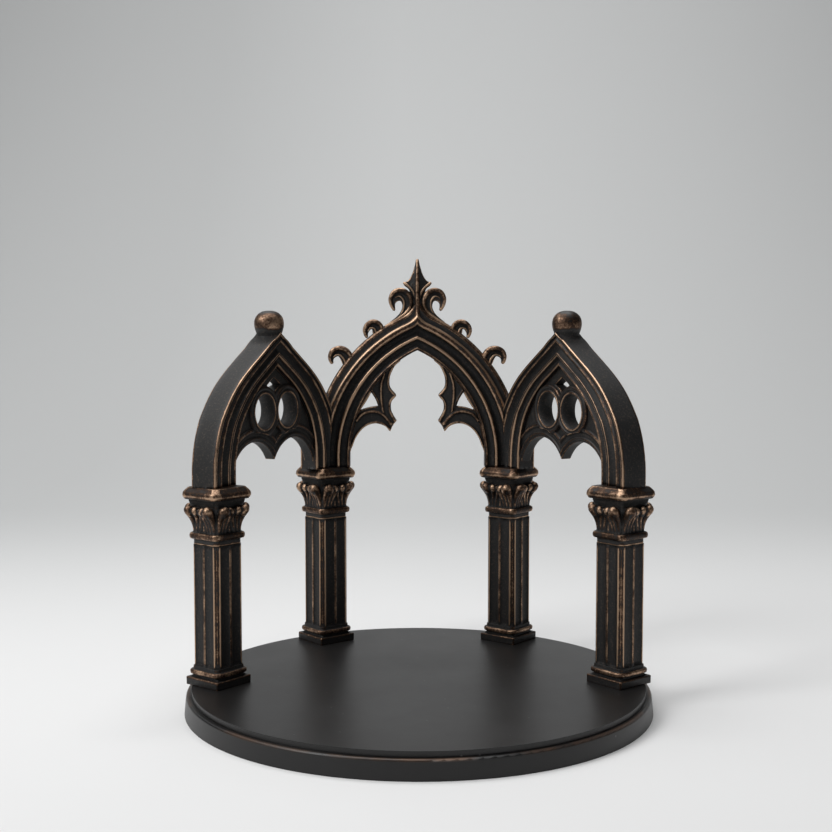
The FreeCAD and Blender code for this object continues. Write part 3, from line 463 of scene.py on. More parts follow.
def make_ring(index, material):
    profile = ring_profile(centre_face, 0.9) if index == 1 else ring_profile(side_face, 0.3)
    inside, y = profile[:, 0], profile[:, 1] * THICKEN
    lines = arch_lines(index, inside)
    x, z = lines[..., 0], lines[..., 1]
    y = np.repeat(y[:, None], x.shape[1], 1)
    if index == 1:
        z = ogee_lift(x, z, inside[:, None])
    else:
        y, z = neck_lift(x, y, z, inside[:, None])
    right = np.stack((x, y, z), -1)
    left = (right * (-1, 1, 1))[:, :-1]
    rows = np.concatenate((left, right[:, ::-1]), 1).transpose(1, 0, 2)
    node = ARCHES[index] + "_arch"
    mesh = mesh_from(node + "_casting", in_arch(index, rows.reshape(-1, 3)),
                     grid_faces(len(rows), len(profile)))
    finish_mesh(opened(mesh), mesh)
    mark_wear_and_shade(mesh, 12, ring_bias(index, rows, profile), across=len(profile))
    cuts = []
    for column, sense in ((index, -1), (index + 1, 1)):
        if column in (1, 2):
            axis = AXES[column]
            side = np.array((axis[1], -axis[0])) / np.linalg.norm(axis) * sense
            place = axis * MM - side * MITRE_GAP
            cuts.append(((*place, 0), (*side, 0)))
    close_ends(mesh, cuts)
    publish(mesh, node, material)


# ---- turned and squared pieces -----------------------------------------------------------------

def filled(rows, gap=0.28):
    """A row of points with more points along its longer runs."""
    out = [rows[0]]
    for a, b in zip(rows, rows[1:]):
        count = max(1, math.ceil(math.dist(a, b) / gap))
        out += [np.add(a, np.subtract(b, a) * k / count) for k in range(1, count + 1)]
    return np.array(out)


def softened(corners, steps):
    """A row of points through corners (across, up, radius), each corner rounded by its radius."""
    rows = []
    for number, (x, z, radius) in enumerate(corners):
        here = np.array((x, z))
        if radius <= 0 or number in (0, len(corners) - 1):
            rows.append(here)
            continue
        before = np.array(corners[number - 1][:2]) - here
        after = np.array(corners[number + 1][:2]) - here
        before, after = before / np.linalg.norm(before), after / np.linalg.norm(after)
        half = math.acos(np.clip(before @ after, -1, 1)) / 2
        cut = radius / math.tan(half)
        bisector = (before + after) / np.linalg.norm(before + after)
        centre = here + bisector * radius / math.sin(half)
        start, end = here + before * cut - centre, here + after * cut - centre
        spread = math.pi - 2 * half
        for t in np.linspace(0, 1, steps):
            swung = start * math.sin((1 - t) * spread) + end * math.sin(t * spread)
            rows.append(centre + swung / math.sin(spread) if spread > 1e-3 else here)
    return filled(rows)


def rounded_square(half, corner, arc=9, side=22):
    """Points round a square with rounded corners, anticlockwise."""
    rows = []
    for quarter in range(4):
        turn = math.radians(90 * quarter)
        arc_turn = np.linspace(-math.pi / 4, math.pi / 4, arc) + turn + math.pi / 4
        cx, cy = half - corner, half - corner
        x0 = cx * math.cos(turn) - cy * math.sin(turn)
        y0 = cx * math.sin(turn) + cy * math.cos(turn)
        rows += [(x0 + corner * math.cos(a), y0 + corner * math.sin(a)) for a in arc_turn]
        last = np.array(rows[-1])
        step = np.array((-math.sin(turn), math.cos(turn)))
        across = np.array((-step[1], step[0])) * 2 * (half - corner)
        share = (1 - np.cos(np.linspace(0, math.pi, side + 2)[1:-1])) / 2
        rows += [tuple(last + across * t) for t in share]
    return np.array(rows)


def squared(levels, corner, at_half, least=0.12):
    """Rings of a piece that is square in plan, from levels (half side, height)."""
    rings = []
    for half, height in levels:
        radius = min(max(corner + half - at_half, least), half * 0.98)
        ring = rounded_square(half, radius)
        rings.append(np.column_stack((ring, np.full(len(ring), height))))
    return np.array(rings)


def column_piece(index, node, rings, foot, material, bias, most=1.0):
    """Publishes a squared piece of a column; no point of it stands out by more than most."""
    mesh = mesh_from(node + "_casting", in_column(index, rings.reshape(-1, 3), foot),
                     grid_faces(len(rings), rings.shape[1]))
    mark_wear_and_shade(mesh, 20, bias, most=most)
    close_ends(mesh)
    publish(mesh, node, material)


def make_foot(index, material):
    node = "foot_" + COLUMNS[index]
    low, high = corners_of(node)
    tall = high[2] - low[2]
    slab = softened(((4.6, 0, 0), (4.9, 0, 0.1), (4.93, 1.68, 0.26), (4.1, 1.8, 0.08),
                     (4.1, 2.3, 0.08), (4.74, 2.4, 0.36), (4.78, 3.3, 0.42), (4.1, 3.42, 0.1),
                     (4.02, tall - 0.06, 0.06), (3.9, tall, 0)), 6)
    rings = squared(slab, 0.4, 4.94)
    # The roll is rounder in plan than the slab under it.
    for ring, (half, height) in zip(rings, slab):
        if height > 1.95:
            ring[:, :2] = rounded_square(half, max(1.7 + half - 4.65, 0.9))
    height = rings[..., 2].ravel()
    bias = np.where(height < 1.9, -0.04, np.where(np.abs(height - 2.85) < 0.5, 0.08, -0.1))
    column_piece(index, node, rings, low[2], material, bias, 0.5)


def shaft_section(depth):
    """Half outline of one face of the shaft, from its middle line to the middle of the corner."""
    across = np.arange(0, 3.06, 0.085)
    hollow = np.where((across > 0.24) & (across < 2.84),
                      np.sin(np.clip((across - 0.24) / 2.6, 0, 1) * math.pi) ** 0.6, 0)
    out = 4.0 - depth * hollow
    corner = np.linspace(0, 1, 9)[1:]
    cx = 3.06 + 0.47 * corner
    cy = 4.0 - 0.47 * corner
    dip = 0.04 * np.sin(corner * math.pi) ** 0.5
    return np.column_stack((np.append(across, cx - dip * 0.7), np.append(out, cy - dip * 0.7)))


def make_shaft(index, material):
    node = "shaft_" + COLUMNS[index]
    low, high = corners_of(node)
    tall = high[2] - low[2]
    heights = np.concatenate((np.linspace(0, 1.6, 14), np.linspace(1.6, tall - 1.6, 60)[1:-1],
                              np.linspace(tall - 1.6, tall, 14)))
    rings = []
    for height in heights:
        near = min(height, tall - height)
        depth = 0.56 * math.sqrt(1 - (1 - np.clip((near + 0.1) / 0.6, 0, 1)) ** 2)
        half = shaft_section(depth)
        face = np.vstack(((half * (-1, 1))[::-1], half[1:]))
        ring = []
        for quarter in range(4):
            turn = math.radians(-90 * quarter)
            x = face[:-1, 0] * math.cos(turn) - face[:-1, 1] * math.sin(turn)
            y = face[:-1, 0] * math.sin(turn) + face[:-1, 1] * math.cos(turn)
            ring += list(zip(x, y))
        rings.append([(x, y, height) for x, y in reversed(ring)])
    rings = np.array(rings)
    end = np.minimum(rings[..., 2], tall - rings[..., 2]).ravel()
    chamfer = np.abs(rings[..., :2]).min(-1).ravel() > 3.02
    bias = np.where(chamfer, 0.4, 0.12) - 0.6 * np.clip(1 - end / 0.9, 0, 1)
    column_piece(index, node, rings, low[2], material, bias)


def make_slab(index, material):
    node = "abacus_" + COLUMNS[index]
    low, high = corners_of(node)
    tall = high[2] - low[2]
    edge = softened(((4.2, 0, 0), (5.1, 0.0, 0.35), (5.62, 0.75, 0.55), (5.5, 1.5, 0.7),
                     (4.55, tall - 0.02, 0.3), (4.3, tall, 0)), 9)
    rings = squared(edge, 1.5, 5.46, 1.1)
    height = rings[..., 2].ravel()
    edge_rub = 0.2 * np.clip(1 - np.abs(height - 0.75) / 0.45, 0, 1)
    joint = 0.9 * np.clip(1 - height / 0.3, 0, 1)
    column_piece(index, node, rings, low[2], material, 0.34 + edge_rub - joint, 0.34)


# ---- capital -----------------------------------------------------------------------------------

def bell_half(height):
    """Half side of the leaf bell at a height above the square ring."""
    return 3.6 + 0.9 * np.clip(height / 6.6, 0, 1) ** 2


def square_distance(x, y, half, corner):
    """Signed distance to a square prism with rounded corners."""
    dx, dy = np.abs(x) - half + corner, np.abs(y) - half + corner
    outside = np.hypot(np.maximum(dx, 0), np.maximum(dy, 0))
    return outside + np.minimum(np.maximum(dx, dy), 0) - corner


def on_bell(beside, height, lift):
    """A place on the bell: along the corner's diagonal and beside it, stood off the surface."""
    half, corner = bell_half(height), 1.1
    if beside < corner * HALF_ROOT:
        along = (half - corner) * 2 * HALF_ROOT + math.sqrt(corner ** 2 - beside ** 2)
    else:
        along = half * 2 * HALF_ROOT - beside
    lean = max(0.7, 0.95 - 0.1 * beside)
    return along + lean * lift, beside + math.sqrt(1 - lean ** 2) * lift


def leaf_stalks(paths):
    """Rows of (along the corner's diagonal, beside it, height, radius) of stalks on the bell."""
    return [curve_through([(*on_bell(beside, height, lift), height, radius)
                           for beside, height, lift, radius in path], 4) for path in paths]


CORNER_LEAVES = (
    # Broad leaf beside each corner: three strands rise from the ring, swing out and curl over.
    ((0.35, 0, 0, 0.3), (0.45, 1.5, 0.12, 0.38), (0.6, 2.9, 0.4, 0.54), (0.8, 4, 0.85, 0.72),
     (0.95, 4.75, 1.2, 0.84), (1.1, 4.85, 1.35, 0.82), (1.2, 4.4, 1.4, 0.72),
     (1.2, 4, 1.3, 0.58)),
    ((1, 0, 0, 0.24), (1.2, 1.5, 0.05, 0.28), (1.5, 2.9, 0.25, 0.38), (1.75, 4, 0.6, 0.52),
     (1.95, 4.75, 0.95, 0.64), (2.15, 4.7, 1.15, 0.58), (2.2, 4.4, 1.15, 0.48)),
    ((1.6, 0, -0.02, 0.22), (1.85, 1.5, 0, 0.26), (2.3, 2.8, 0.16, 0.32), (2.6, 3.8, 0.4, 0.4),
     (2.85, 4.6, 0.7, 0.5), (3.1, 4.5, 0.85, 0.42), (3.15, 4.1, 0.75, 0.32)),
    # Veins low on the face.
    ((2.5, 0, -0.04, 0.16), (2.8, 1.5, -0.02, 0.2), (3.25, 2.8, 0.06, 0.24),
     (3.7, 3.6, 0.2, 0.24)),
    ((3.4, 0, -0.05, 0.15), (3.8, 1.4, -0.03, 0.19), (4.3, 2.5, 0.02, 0.2)),
)
FACE_BUD = ((5.1, 2.2, 0.0, 0.24), (5.1, 3.4, 0.12, 0.36), (5.05, 4.4, 0.4, 0.58),
            (5.0, 5.2, 0.6, 0.64), (5.0, 5.7, 0.5, 0.45))


def capital_skin():
    """Collar, square ring, flared bell and its leaves, about the column's axis."""
    low, high = corners_of("capital_left_front")
    tall = high[2] - low[2]
    x, y, z, corner = grid_over((-6.9, -6.9, 0.0), (6.9, 6.9, tall))
    ring_middle, bell_foot = 1.9, 2.7
    across = square_distance(x, y, 3.72, 0.9)
    collar = cut_with(across, z - 1.3, 0.15)
    off_ring = np.maximum(square_distance(x, y, 3.95, 0.75), 0)
    ring = np.hypot(off_ring, (z - ring_middle) * 0.72) - 0.56
    ring = cut_with(ring, np.abs(z - ring_middle) - 0.72, 0.2)
    height = z - bell_foot
    bell = square_distance(x, y, bell_half(height), 1.1)
    bell = cut_with(bell, np.abs(z - (bell_foot + 3.4)) - 4.4, 0.7)
    body = blend_in(blend_in(collar, ring, 0.2), bell, 0.3)
    neck = cut_with(square_distance(x, y, 3.7, 0.8), -(z - 4.0), 0.1)
    body = np.minimum(body, neck)
    long, short = np.maximum(np.abs(x), np.abs(y)), np.minimum(np.abs(x), np.abs(y))
    along, beside = (long + short) * HALF_ROOT, (long - short) * HALF_ROOT
    leaves = np.full(np.broadcast(x, y, z).shape, FAR)
    for row in leaf_stalks(CORNER_LEAVES + (FACE_BUD,)):
        for a, b in zip(row, row[1:]):
            share, away = to_run((along, beside, height), a[:3], b[:3])
            leaves = blend_in(leaves, np.sqrt(away) - a[3] - share * (b[3] - a[3]), 0.3)
    field = blend_in(body, leaves, 0.5)
    field = np.maximum(np.maximum(field, z - tall), -z)
    points, faces = skin(field, corner)
    points[:, 2] = np.clip(points[:, 2], 0, tall)
    return points, faces


def make_capital(index, shape, material):
    node = "capital_" + COLUMNS[index]
    points, faces = shape
    foot = corners_of(node)[0][2]
    mesh = mesh_from(node + "_casting", in_column(index, points, foot), faces)
    under_slab = np.clip((points[:, 2] - points[:, 2].max() + 1.2) / 0.6, 0, 1)
    mark_wear_and_shade(mesh, CARVED_PASSES, 0.13 - 0.9 * under_slab, most=0.9)
    publish(mesh, node, material)


# ---- carved pieces in the plane of an arch -----------------------------------------------------

def carved(node, index, field, corner, material, mirror=False, bias=0.0):
    """Skins a sampled solid in an arch's own frame; the bias may be a function of its points."""
    points, faces = skin(field, corner)
    if mirror:
        points, faces = points * (-1, 1, 1), faces[:, ::-1]
    mesh = mesh_from(node + "_casting", in_arch(index, points), faces)
    mark_wear_and_shade(mesh, CARVED_PASSES, bias(points) if callable(bias) else bias)
    publish(mesh, node, material)


def make_tracery(index, material):
    """Pierced plate with two rimmed eyes, a small light over them, and two beaded lobes."""
    x, y, z, corner = grid_over((-17.2, -2.3, 0.0), (17.2, 2.3, 25.4))
    side = np.abs(x)
    line = arch_lines(index, [RING - 0.1])[0]
    width, lobe_radius = line[0][0], 9.05
    lobe = np.array((width - lobe_radius + 0.3, SPRINGING - 3.2))
    meet = lobe[1] + math.sqrt(lobe_radius ** 2 - (width - lobe[0]) ** 2)
    bound = np.vstack(((width, meet), line[line[:, 1] > meet]))
    turn = np.linspace(math.acos((width - lobe[0]) / lobe_radius),
                       math.acos(-lobe[0] / lobe_radius), 40)
    arc = lobe + lobe_radius * np.column_stack((np.cos(turn), np.sin(turn)))
    outline = np.vstack((bound, (bound * (-1, 1))[::-1][1:], arc * (-1, 1), arc[::-1][1:-1]))
    edge = outline_distance(x, z, outline)
    eye_height, eye_side, light_foot, frame_width = 14.9, 4.6, 19.1, 2.3
    eye = np.hypot(side - eye_side, z - eye_height)
    from_lobe = np.hypot(side - lobe[0], z - lobe[1])
    under_slope = (z - line[-1][1]) * math.cos(SLOPE) + frame_width + side * math.sin(SLOPE)
    light = np.maximum(np.maximum(under_slope, 6.0 - eye), light_foot - z)
    eye_hole = 3.4 + 0.3 * np.clip(np.abs(y) / 1.6, 0, 1) ** 2
    opening = np.maximum(eye_hole - eye, -light)
    pierced = cut_with(edge, opening, 0.12)
    field = plate(y, pierced, 1.2, 0.2)
    rim = plate(y, np.maximum(eye - 5.6, eye_hole - eye), 1.7, 0.25)
    rolls = np.minimum(np.hypot(eye - 5.2, np.abs(y) - 1.6) - 0.46,
                       np.hypot(eye - 4.15, np.abs(y) - 1.72) - 0.3)
    rim, rolls = (np.maximum(part, 11.1 - from_lobe) for part in (rim, rolls))
    band = cut_with(from_lobe - 11.9, lobe_radius - from_lobe, 0.1)
    band = cut_with(cut_with(band, edge, 0.1), np.abs(y) - 1.35, 0.2)
    lobes = np.minimum(np.hypot(from_lobe - 11.7, np.abs(y) - 1.3) - 0.46,
                       np.hypot(from_lobe - 9.8, np.abs(y) - 1.3) - 0.38)
    lobes = np.maximum(lobes, edge - 0.12)
    field = blend_in(blend_in(field, rim, 0.2), blend_in(rolls, band, 0.15), 0.15)
    field = blend_in(field, lobes, 0.15)
    field = np.maximum(field, opening - 0.02)

    def rub_bias_with_eye_shade(points):
        """Less rubbed than the rings round it; inside the eyes the patina is painted black as
        painted shade.
        """
        out = np.hypot(np.abs(points[:, 0]) - eye_side, points[:, 2] - eye_height)
        return np.where((out < 3.75) & (np.abs(points[:, 1]) < 1.6), -0.6, -0.1)

    carved(ARCHES[index] + "_tracery", index, field, corner, material, bias=rub_bias_with_eye_shade)


def make_cusp(sense, name, material):
    """Pierced bracket inside the centre arch, carved on the right and mirrored for the left."""
    x, y, z, corner = grid_over((4.2, -1.9, 3.0), (17.2, 1.9, 26.2))
    line = arch_lines(1, [RING - 0.1])[0]
    upper = curve_through(((3.9, 25.6), (5.5, 24.1), (6.6, 21.6), (6.55, 19.2), (5.05, 17.2)))
    waist = curve_through(((5.05, 17.2), (6.2, 15.7), (6.35, 13.8), (5.8, 12.2), (4.95, 11.1)))
    point = curve_through(((4.95, 11.1), (5.9, 9.9), (6.55, 8.45)))
    lobe = curve_through(((6.55, 8.45), (7.7, 9.85), (10.2, 10.55), (12.8, 9.6), (14.9, 7.0),
                          (16.2, 3.4)))
    back = line[(line[:, 1] > 3.4) & (line[:, 0] > 3.9)]
    outline = np.vstack((upper[:-1], waist[:-1], point[:-1], lobe, back))
    edge = outline_distance(x, z, outline)
    hole = np.vstack((curve_through(((11.1, 17.9), (10.1, 16.3), (9.45, 14.65)))[:-1],
                      curve_through(((9.45, 14.65), (11.5, 14.35), (13.7, 13.7)))[:-1],
                      curve_through(((13.7, 13.7), (12.2, 15.9), (11.1, 17.9)))[:-1]))
    pierced = cut_with(edge, -outline_distance(x, z, hole), 0.15)
    field = plate(y, pierced, 1.1, 0.25)
    for path in (
            ((14.6, 11.2, 1.2, 0.36), (13.2, 12.7, 1.2, 0.36), (11.0, 13.3, 1.2, 0.36),
             (9.0, 13.0, 1.2, 0.36), (7.6, 11.9, 1.2, 0.36), (6.4, 10.4, 1.15, 0.42)),
            ((7.9, 22.4, 1.15, 0.3), (8.65, 19.8, 1.15, 0.32), (8.7, 16.6, 1.15, 0.32),
             (8.3, 13.2, 1.15, 0.32)),
            ((15.8, 5.0, 1.1, 0.34), (14.2, 8.3, 1.1, 0.34), (12.2, 10.1, 1.1, 0.34),
             (10.1, 10.75, 1.1, 0.34), (8.2, 10.3, 1.1, 0.34), (6.7, 9.0, 1.1, 0.34)),
            ((6.0, 23.9, 1.05, 0.28), (6.95, 21.5, 1.05, 0.28), (6.85, 19.1, 1.05, 0.28),
             (5.5, 17.3, 1.05, 0.34)),
            ((5.5, 17.1, 1.05, 0.34), (6.6, 15.6, 1.05, 0.28), (6.7, 13.7, 1.05, 0.28),
             (5.5, 11.2, 1.05, 0.36)),
            ((8.9, 14.3, 1.05, 0.22), (9.7, 16.4, 1.05, 0.22), (10.9, 18.4, 1.05, 0.22))):
        field = blend_in(field, roll_along(x, y, z, path, 4), 0.12)
    field = np.maximum(field, pierced - 0.1)
    carved(name + "_cusp", 1, field, corner, material, mirror=sense < 0)


LOW_CROCKET = dict(
    stem=((16.2, 23.6, 1.1), (16.95, 25.6, 1.3), (17.6, 26.9, 1.25), (18.6, 27.75, 1.2),
          (19.75, 27.55, 1.1), (20.55, 26.7, 0.8), (20.75, 25.8, 0.55), (20.6, 25.15, 0.38)),
    crest=((15.75, 25.6, 1.2, 0.4), (16.2, 27.0, 1.3, 0.5), (17.3, 28.15, 1.3, 0.58),
           (18.9, 28.5, 1.3, 0.62), (20.35, 27.9, 1.25, 0.58), (20.95, 26.7, 1.15, 0.5),
           (20.85, 25.6, 1.05, 0.42), (20.6, 25.1, 0.95, 0.36)),
    vein=((17.6, 24.0, 1.0, 0.2), (17.4, 25.4, 1.15, 0.24),
          (18.3, 26.75, 1.15, 0.26), (19.4, 26.95, 1.1, 0.24), (20.2, 26.4, 1.0, 0.2)))
HIGH_CROCKET = dict(
    stem=((8.6, 31.3, 1.0), (9.5, 32.3, 1.2), (9.75, 33.4, 1.15), (10.55, 34.2, 1.1),
          (11.6, 33.95, 0.98), (12.2, 33.0, 0.72), (12.35, 32.1, 0.5), (12.2, 31.35, 0.34)),
    crest=((8.35, 32.7, 1.2, 0.38), (8.75, 34.0, 1.25, 0.46), (9.8, 34.8, 1.25, 0.54),
           (11.1, 34.8, 1.25, 0.56), (12.2, 34.0, 1.2, 0.52), (12.65, 32.9, 1.1, 0.46),
           (12.5, 31.9, 1.0, 0.38), (12.2, 31.3, 0.9, 0.32)),
    vein=((10.2, 31.0, 0.95, 0.2), (9.8, 31.9, 1.15, 0.22),
          (10.3, 33.2, 1.15, 0.24), (11.3, 33.35, 1.05, 0.22), (11.9, 32.7, 0.95, 0.18)))


def stem_distance(x, z, path):
    """Distance in the plane to a tapering stem of (x, z, half width)."""
    field = np.full(np.broadcast(x, z).shape, FAR)
    rows = curve_through(path, 6)
    for a, b in zip(rows, rows[1:]):
        share, away = to_run((x, z), a[:2], b[:2])
        field = np.minimum(field, np.sqrt(away) - a[2] - share * (b[2] - a[2]))
    return field


def make_crocket(sense, name, level, shape, material):
    """Curled leaf: a round crest over a thinner blade, with a fine vein along its inner side."""
    stem = np.array(shape["stem"])
    low = (stem[:, :2] - stem[:, 2:]).min(0)
    high = (stem[:, :2] + stem[:, 2:]).max(0)
    x, y, z, corner = grid_over((low[0] - 0.8, -2.1, low[1] - 1.0),
                                (high[0] + 0.8, 2.1, high[1] + 0.8))
    field = plate(y, stem_distance(x, z, stem), 1.05, 0.35)
    field = blend_in(field, roll_along(x, y, z, shape["crest"], 6), 0.2)
    field = blend_in(field, roll_along(x, y, z, shape["vein"], 6), 0.12)
    node = "%s_%s_crocket" % (name, level)
    carved(node, 1, field, corner, material, mirror=sense < 0, bias=0.1)


def make_spear(material):
    """Spear between two crooks, its middle rib carried on from the roll of the arch."""
    x, y, z, corner = grid_over((-7.6, -3.2, 32.8), (7.6, 3.2, 50.1))
    side = np.abs(x)
    crook = ((7.4, 33, 0.6), (5.9, 34.2, 0.75), (4.4, 35.4, 0.85), (3.2, 36.8, 0.95),
             (2.5, 38.3, 1.1), (2.5, 39.8, 1.3), (3.2, 41, 1.45), (4.45, 41.35, 1.45),
             (5.5, 40.7, 1.2), (6, 39.6, 0.8), (5.85, 38.5, 0.52), (5.6, 37.8, 0.34))
    crest = ((8.6, 33.2, 1.3, 0.2), (5.2, 35.3, 1.3, 0.26), (2.9, 36.9, 1.3, 0.34),
             (1.75, 38.5, 1.25, 0.42), (1.65, 40.2, 1.2, 0.5), (2.5, 41.8, 1.2, 0.58),
             (4.15, 42.4, 1.2, 0.6), (5.7, 41.85, 1.15, 0.56), (6.45, 40.4, 1.05, 0.48),
             (6.25, 38.95, 1, 0.4), (5.7, 37.85, 0.9, 0.3))
    vein = ((7.6, 33.4, 1.1, 0.2), (5.6, 35, 1.1, 0.22), (4.2, 36.3, 1.1, 0.22),
            (3.4, 37.8, 1.1, 0.24), (3.2, 39.6, 1.1, 0.24), (4, 40.85, 1.1, 0.24),
            (5.1, 40.75, 1, 0.22), (5.7, 39.8, 0.9, 0.2))
    web = ((0.2, 33, 1.2), (0.3, 36, 1.9), (0.3, 39.5, 1.4), (0.3, 41.6, 1.6), (0.3, 43, 1.4))
    gusset = ((0, 36.4, 2.2), (3, 35.8, 1.3), (6, 34.5, 0.6))
    blade_edge = np.vstack((curve_through(((0, 49.95), (0.32, 49.6), (0.62, 48.3), (1.3, 46.2),
                                           (2.2, 44.75), (3.25, 44.25)))[:-1],
                            curve_through(((3.25, 44.25), (3.1, 43.5), (2.2, 42.8), (1.5, 41.4),
                                           (1.2, 39.5), (0, 39)))))
    other_edge = (blade_edge * (-1, 1))[::-1][1:-1]
    thick = 0.4 + 0.85 * np.clip(1 - side / 2.6, 0, 1) ** 1.6
    thick = thick * np.clip((50.6 - z) / 4, 0.3, 1)
    blade = cut_with(outline_distance(side, z, np.vstack((blade_edge, other_edge))),
                     np.abs(y) - thick, 0.2)
    rib = ((0, 34.3, 2.1, 0.5), (0, 35.2, 2.35, 0.58), (0, 36.8, 1.95, 0.54),
           (0, 38.6, 1.55, 0.5), (0, 42, 1.3, 0.48), (0, 46, 1, 0.44), (0, 48.6, 0.55, 0.38),
           (0, 49.5, 0.2, 0.36))
    barb = ((0.55, 40.6, 1.05, 0.25), (1, 42, 1, 0.28), (1.8, 43.1, 0.8, 0.3),
            (2.9, 43.95, 0.5, 0.36), (3.1, 44.1, 0.35, 0.36))
    field = plate(y, stem_distance(side, z, crook), 1.05, 0.35)
    for path, half_thickness in ((web, 0.8), (gusset, 1.15)):
        flat = plate(y, stem_distance(side, z, path), half_thickness, 0.3)
        field = blend_in(field, flat, 0.3)
    field = blend_in(field, blade, 0.2)
    for path, steps, soft in ((crest, 6, 0.2), (vein, 6, 0.12), (rib, 4, 0.15), (barb, 5, 0.12)):
        field = blend_in(field, roll_along(side, y, z, path, steps), soft)
    carved("spear_finial", 1, field, corner, material, bias=0.14)


def make_ball(index, material):
    """Flattened ball that grows out of the arch's neck."""
    node = ARCHES[index] + "_ball_finial"
    top = corners_of(node)[1][2] - SLAB_TOP + 0.04
    profile = curve_through(((2.45, -6.3), (2.66, -5.8), (2.84, -5.1), (3.1, -4.35), (3.3, -3.5),
                             (3.32, -2.6), (3.08, -1.65), (2.5, -0.85), (1.65, -0.3),
                             (0.8, -0.08), (0.05, -0.04)), 6) + (0, top)
    around = 64
    turn = np.linspace(0, 2 * math.pi, around, endpoint=False)
    rings = np.stack((profile[:, :1] * np.cos(turn), profile[:, :1] * np.sin(turn),
                      np.repeat(profile[:, 1:], around, 1)), -1)
    mesh = mesh_from(node + "_casting", in_arch(index, rings.reshape(-1, 3)),
                     grid_faces(len(rings), around))
    neck = np.clip((top - 3.9 - rings[..., 2].ravel()) / 1.2, 0, 1)
    mark_wear_and_shade(mesh, 10, 0.08 - 0.7 * neck)
    close_ends(mesh)
    publish(mesh, node, material)


# ---- materials ---------------------------------------------------------------------------------

def colour(hexed):
    """An sRGB hex value as linear light."""
    parts = [int(hexed[i:i + 2], 16) / 255 for i in (1, 3, 5)]
    return (*[c / 12.92 if c <= 0.04045 else ((c + 0.055) / 1.055) ** 2.4 for c in parts], 1.0)


def add(tree, kind, links=None, inputs=None, stops=(), **settings):
    """Adds a node: its settings, fixed inputs, links from other nodes' sockets, ramp stops."""
    node = tree.nodes.new(kind)
    for name, value in settings.items():
        setattr(node, name, value)
    for name, value in (inputs or {}).items():
        node.inputs[name].default_value = value
    for name, source in (links or {}).items():
        tree.links.new(source, node.inputs[name])
    if stops:
        elements = node.color_ramp.elements
        while len(elements) < len(stops):
            elements.new(0.5)
        for element, (place, hexed) in zip(elements, stops):
            element.position, element.color = place, colour(hexed)
    return node


def new_material(name):
    material = bpy.data.materials.new(name)
    material.use_nodes = True
    tree = material.node_tree
    tree.nodes.clear()
    return material, tree


def blackened_cast_bronze():
    """Cast bronze blackened in a bath, then rubbed back: warm metal on what stands out."""
    material, tree = new_material("blackened_cast_bronze")
    place = add(tree, "ShaderNodeTexCoord").outputs["Object"]
    wear_and_shade = add(tree, "ShaderNodeAttribute", attribute_name="wear_and_shade").outputs["Fac"]
    # Blotches where the cloth bore harder or lighter, and the grain of the casting.
    blotch = add(tree, "ShaderNodeTexNoise", {"Vector": place},
                 {"Scale": 1 / (3.0 * MM), "Detail": 3.0, "Roughness": 0.55}).outputs["Fac"]
    grain = add(tree, "ShaderNodeTexNoise", {"Vector": place},
                {"Scale": 1 / (0.45 * MM), "Detail": 5.0, "Roughness": 0.75}).outputs["Fac"]
    uneven = add(tree, "ShaderNodeMath", {0: blotch, 1: grain}, operation="ADD").outputs[0]
    centred = add(tree, "ShaderNodeMath", {0: uneven}, {1: 1.0},
                  operation="SUBTRACT").outputs[0]
    bitten = add(tree, "ShaderNodeMath", {0: centred, 2: wear_and_shade}, {1: 0.9},
                 operation="MULTIPLY_ADD").outputs[0]
    rub = add(tree, "ShaderNodeMapRange", {"Value": bitten},
              {"From Min": 0.18, "From Max": 0.74}).outputs["Result"]
    # The black patina is the casting's own colour; where a point lies sunk it is painted darker
    # still, as painted shade in the hollows.
    sunk = add(tree, "ShaderNodeMapRange", {"Value": wear_and_shade},
               {"From Min": -0.4, "From Max": 0.2}).outputs["Result"]
    patina_with_painted_shade = add(tree, "ShaderNodeValToRGB", {"Fac": sunk},
               stops=((0.0, "#040404"), (0.6, "#0b0b0b"), (1.0, "#151414"))).outputs["Color"]
    # Brown specks where the black bath took unevenly.
    fleck = add(tree, "ShaderNodeMapRange", {"Value": grain},
                {"From Min": 0.52, "From Max": 0.7, "To Max": 0.6}).outputs["Result"]
    patina = add(tree, "ShaderNodeMix", {"Factor": fleck, "A": patina_with_painted_shade}, {"B": colour("#54463c")},
                 data_type="RGBA").outputs["Result"]
    metal = add(tree, "ShaderNodeValToRGB", {"Fac": rub},
                stops=((0.0, "#1c1817"), (0.3, "#4a382d"), (0.65, "#7f6452"),
                       (1.0, "#b89a80"))).outputs["Color"]
    tint = add(tree, "ShaderNodeMix", {"Factor": rub, "A": patina, "B": metal},
               data_type="RGBA").outputs["Result"]
    shiny = add(tree, "ShaderNodeMapRange", {"Value": rub},
                {"From Min": 0.02, "From Max": 0.45}).outputs["Result"]
    matt = add(tree, "ShaderNodeMapRange", {"Value": rub},
               {"To Min": 0.42, "To Max": 0.3}).outputs["Result"]
    # Soot left in the hollows takes their gloss.
    soot = add(tree, "ShaderNodeMapRange", {"Value": wear_and_shade},
               {"From Min": -0.4, "From Max": 0.1, "To Min": 0.25,
                "To Max": 0.0}).outputs["Result"]
    dull = add(tree, "ShaderNodeMath", {0: matt, 1: soot}, operation="ADD").outputs[0]
    rough = add(tree, "ShaderNodeMath", {0: grain, 2: dull}, {1: 0.16},
                operation="MULTIPLY_ADD").outputs[0]
    bump = add(tree, "ShaderNodeBump", {"Height": uneven},
               {"Strength": 0.8, "Distance": 0.07 * MM}).outputs[0]
    shader = add(tree, "ShaderNodeBsdfPrincipled",
                 {"Base Color": tint, "Metallic": shiny, "Roughness": rough, "Normal": bump})
    add(tree, "ShaderNodeOutputMaterial", {"Surface": shader.outputs[0]})
    return material


